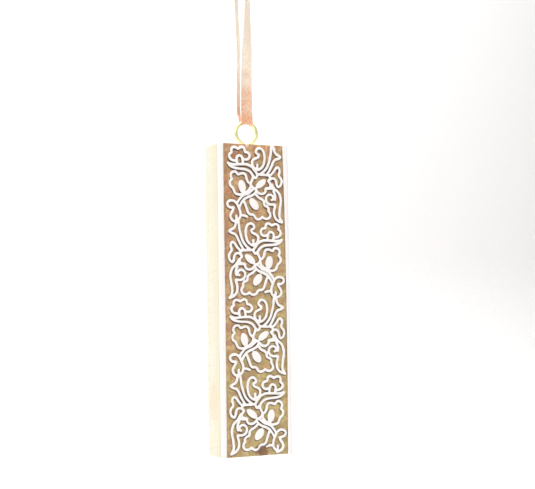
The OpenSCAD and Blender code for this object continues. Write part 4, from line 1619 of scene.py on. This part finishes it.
@dataclass
class WoodenBox:
    """The rails, the blocks and the sliding cover behind the carved front."""

    broken: float = 0.18
    cover_t: float = 2.4
    cover_lap: float = 0.6
    dovetail_run: float = 1.6
    scoop_width: float = 9.0
    scoop_depth: float = 0.9
    scoop_rise: float = 9.0
    # Rows of points up the cover: how many over the scoop and above it, and where they start and stop
    scoop_rows: tuple[int, float, float] = (52, 1.0, 18.0)
    plain_rows: tuple[int, float] = (12, 20.0)
    scoop_columns: int = 31
    cover_broken: float = 0.15
    # Faces of the cover that look through by more than this are shaded smooth
    facing: float = 0.3
    # How far the stain is behind the front board and above the foot
    patch: tuple[float, float] = (6.0, 20.5)

    def rail(self, name: str, node: str, side: float, finish: PaleWood) -> None:
        """Make one side rail with the groove that the cover slides in.

        Args:
            name: The piece's name.
            node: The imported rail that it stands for.
            side: -1 for the left rail and 1 for the right one.
            finish: Its finish.
        """
        low, high = node_box(node)
        top_low, _ = node_box("top_block")
        inner = min(abs(low[0]), abs(high[0]))
        outer = max(abs(low[0]), abs(high[0]))
        lap = inner + self.cover_lap
        deep = lap + self.dovetail_run
        groove = high[1] - self.cover_t
        plain = [(inner, low[1]), (outer, low[1]), (outer, high[1]), (inner, high[1])]
        grooved = [*plain[:3], (lap, high[1]), (deep, groove), (inner, groove)]
        shape = Shape()
        for section, foot, top in ((grooved, low[2], top_low[2]), (plain, top_low[2], high[2])):
            shape.join(tube([[(x * side, y, z) for x, y in section] for z in (foot, top)]))
        mesh = bevelled(self.welded(shape, name, top_low[2]), self.broken)
        piece = add_piece(mesh, [finish.material()], Body.CASE)
        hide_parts(node)

    def welded(self, shape: Shape, name: str, seam: float) -> Mesh:
        """Join a rail's grooved and plain stretches into one solid.

        Args:
            shape: The two stretches, end to end.
            name: The mesh's name.
            seam: The height where they meet.

        Returns:
            The joined mesh.
        """
        mesh = shape.mesh(name, smooth=False)
        work = bmesh.new()
        work.from_mesh(mesh)
        ends = [f for f in work.faces if all(abs(v.co.z - seam * MM) < 1e-7 for v in f.verts)]
        grooved = next(f for f in ends if len(f.verts) == 6)
        plain = next(f for f in ends if len(f.verts) == 4)
        work.faces.remove(grooved)
        work.faces.remove(plain)
        bmesh.ops.remove_doubles(work, verts=work.verts, dist=1e-7)
        bmesh.ops.holes_fill(work, edges=[e for e in work.edges if e.is_boundary], sides=0)
        bmesh.ops.recalc_face_normals(work, faces=work.faces)
        work.to_mesh(mesh)
        work.free()
        return mesh

    def block(self, name: str, node: str, finish: PaleWood) -> None:
        """Make one of the blocks between the rails."""
        low, high = node_box(node)
        section = [(low[0], low[1]), (high[0], low[1]), (high[0], high[1]), (low[0], high[1])]
        mesh = prism(name, section, low[2], high[2], self.broken)
        piece = add_piece(mesh, [finish.material()], Body.CASE)
        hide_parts(node)

    def cover(self, name: str, finish: PaleWood) -> None:
        """Make the dovetailed cover with its thumb scoop.

        Args:
            name: The piece's name.
            finish: Its finish.
        """
        low, high = node_box("back_cover")
        inner, foot, top = high[0], low[2], high[2]
        outer = inner - (high[1] - low[1]) * self.dovetail_run / self.cover_t
        b = self.cover_broken
        columns = np.linspace(outer - b, -outer + b, self.scoop_columns)
        middle = foot + self.scoop_rise
        radius = (self.scoop_width**2 / 4 + self.scoop_depth**2) / (2 * self.scoop_depth)
        count, start, stop = self.scoop_rows
        rows = [foot, foot + b, *np.linspace(foot + start, foot + stop, count)]
        count, start = self.plain_rows
        rows += [*np.linspace(foot + start, top - b, count), top]
        rings = []
        for z in rows:
            inset = b if z in (foot, top) else 0.0
            ring = [(-inner + b + inset, low[1] + inset, z), (inner - b - inset, low[1] + inset, z)]
            ring += [(inner - inset, low[1] + b + inset, z), (outer - inset, high[1] - b - inset, z)]
            for x in columns:
                flat = math.hypot(x, z - middle)
                dip = math.sqrt(max(radius**2 - flat**2, 0.0)) - (radius - self.scoop_depth)
                ring.append((x, high[1] - max(dip, 0.0) - inset, z))
            ring += [(-outer + inset, high[1] - b - inset, z), (-inner + inset, low[1] + b + inset, z)]
            rings.append(ring)
        mesh = face_outwards(tube(rings).mesh(name, smooth=False))
        smooth = [abs(p.normal.y) > self.facing and len(p.vertices) == 4 for p in mesh.polygons]
        mesh.polygons.foreach_set("use_smooth", smooth)
        piece = add_piece(mesh, [finish.material()], Body.COVER)
        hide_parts("back_cover")

    def build(self) -> None:
        """Make every wooden part behind the carved front."""
        low, _ = node_box("left_side_rail")
        patch = (low[0], low[1] + self.patch[0], low[2] + self.patch[1])
        seam, level = low[1], GrainRun.LEVEL
        left = PaleWood("left_rail_wood", stain_at=patch, seam_y=seam)
        self.rail("left_rail", "left_side_rail", -1.0, left)
        self.rail("right_rail", "right_side_rail", 1.0, PaleWood("right_rail_wood", seam_y=seam, shift=0.031))
        self.block("top_end_block", "top_block", PaleWood("top_block_wood", run=level, shift=0.047))
        self.block("foot_end_block", "bottom_block", PaleWood("foot_block_wood", run=level, shift=0.059))
        tan, brown = (0.84, 0.68, 0.46), (0.62, 0.43, 0.24)
        sanded = PaleWood("cover_wood_sanded", light=tan, dark=brown, saw_marks=0.25, shift=0.071)
        self.cover("sliding_cover", sanded)


# --- Screw eye and scroll --------------------------------------------------------------------


@dataclass
class ScrewEye:
    """The brass eye: one wire bent into a ring, with a thread cut on its shank."""

    wire_r: float = 0.625
    eye_r: float = 4.2
    core_r: float = 0.7
    thread_r: float = 0.95
    pitch: float = 0.9
    sides: int = 28
    # The wire below the ring: how far it leans across, and how far it is below the ring's middle line
    neck: tuple[tuple[float, float], ...] = ((0.0, 1.1), (0.0, 0.7), (0.06, 0.32))
    sweep: tuple[float, float] = (-82.0, 255.0)
    ring_steps: int = 96
    # The wire's size at its cut end and one step before it
    rounding: tuple[float, float] = (0.80, 0.95)
    shank_steps: int = 150
    shank_lap: float = 0.6
    plain_neck: float = 0.4
    tip_length: float = 2.2
    tip_blunt: float = 0.05
    ridge_half: float = 0.28

    def ring_line(self, ring_z: float) -> np.ndarray:
        """Return the wire's middle line, from the neck round the ring to its cut end."""
        neck = [(lean, ring_z - self.eye_r - drop) for lean, drop in self.neck]
        arc = [
            (self.eye_r * math.cos(math.radians(a)), ring_z + self.eye_r * math.sin(math.radians(a)))
            for a in np.linspace(*self.sweep, self.ring_steps)
        ]
        line = np.array(neck + arc)
        return np.stack([line[:, 0], np.zeros(len(line)), line[:, 1]], 1)

    def wire(self, ring_z: float) -> Shape:
        """Sweep the wire along the ring, with a rounded cut end."""
        line = self.ring_line(ring_z)
        rings = []
        for i, (here, way) in enumerate(zip(line, directions(line))):
            out = np.cross(way, (0.0, 1.0, 0.0))
            left = len(line) - 1 - i
            r = self.wire_r * (self.rounding[left] if left < len(self.rounding) else 1.0)
            rings.append([
                tuple(here + r * (out * math.cos(a) + np.array((0.0, 1.0, 0.0)) * math.sin(a)))
                for a in np.linspace(0, 2 * math.pi, self.sides, endpoint=False)
            ])
        return tube(rings)

    def shank(self, neck: float, tip: float) -> Shape:
        """Turn the shank with its thread.

        Args:
            neck: The height where the thread starts.
            tip: The height of the point.

        Returns:
            The shank.
        """
        rings = []
        for z in np.linspace(neck, tip, self.shank_steps):
            taper = min(1.0, (z - tip) / self.tip_length + self.tip_blunt)
            ring = []
            for k in range(self.sides):
                a = 2 * math.pi * k / self.sides
                turn = ((neck - z) / self.pitch + a / (2 * math.pi)) % 1.0
                cut = z < neck - self.plain_neck
                ridge = max(0.0, 1.0 - abs(turn - 0.5) / self.ridge_half) if cut else 0.0
                r = (self.core_r + (self.thread_r - self.core_r) * ridge) * taper
                ring.append((r * math.cos(a), r * math.sin(a), z))
            rings.append(ring)
        return tube(rings)

    def build(self) -> None:
        """Make the eye."""
        low, high = node_box("screw_eye")
        ring_z = high[2] - self.wire_r - self.eye_r
        shape = self.wire(ring_z)
        shape.join(self.shank(ring_z - self.eye_r - self.shank_lap, low[2]))
        mesh = face_outwards(shape.mesh("brass_screw_eye"))
        piece = add_piece(mesh, [Brass("eye_brass_bright").material()], Body.CASE)
        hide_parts("screw_eye")


@dataclass
class Scroll:
    """The parchment, one sheet rolled up on itself."""

    thickness: float = 0.2
    pitch: float = 0.36
    core_r: float = 1.25
    steps_a_turn: int = 40
    play: float = 0.02
    wander: float = 0.5
    wander_knots: int = 9
    loose: float = 0.03
    height_steps: int = 15

    def build(self) -> None:
        """Roll the sheet and dress it."""
        low, high = node_box("parchment_scroll")
        middle = (low + high) / 2
        outer = (high[0] - low[0]) / 2 - self.thickness - self.play
        turns = (outer - self.core_r) / self.pitch
        count = int(turns * self.steps_a_turn)
        rng = np.random.default_rng(SEED + 1)
        knots = np.linspace(0, count, self.wander_knots)
        drift = np.interp(np.arange(count), knots, rng.uniform(0.0, self.wander, self.wander_knots))
        heights = np.linspace(low[2], high[2], self.height_steps)
        rings = []
        for i in range(count):
            a = 2 * math.pi * i / self.steps_a_turn
            r = self.core_r + self.pitch * i / self.steps_a_turn
            inner, outside = [], []
            for j, z in enumerate(heights):
                z += drift[i] * (1.0 if j == 0 else -1.0 if j == len(heights) - 1 else 0.0)
                loose = self.loose * math.sin(a * 1.7 + z / 9.0) if i < count - self.steps_a_turn else 0.0
                for side, reach in ((inner, r + loose), (outside, r + self.thickness + loose)):
                    side.append((middle[0] + reach * math.cos(a), middle[1] + reach * math.sin(a), z))
            rings.append(inner + outside[::-1])
        mesh = face_outwards(tube(rings).mesh("rolled_parchment"))
        piece = add_piece(mesh, [Parchment("parchment_skin").material()], Body.CASE)
        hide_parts("parchment_scroll")


# --- The whole ------------------------------------------------------------------------------


def main() -> None:
    """Build every piece in order."""
    logging.basicConfig(level=logging.INFO, format="%(name)s: %(message)s")
    studio = Studio()
    studio.camera()
    Ribbon().build()
    foot = node_box("carved_front_board")[0][2]
    studio.backdrop(foot)
    studio.lights()
    CarvedFront().build()
    WoodenBox().build()
    ScrewEye().build()
    Scroll().build()


if __name__ == "__main__":
    main()
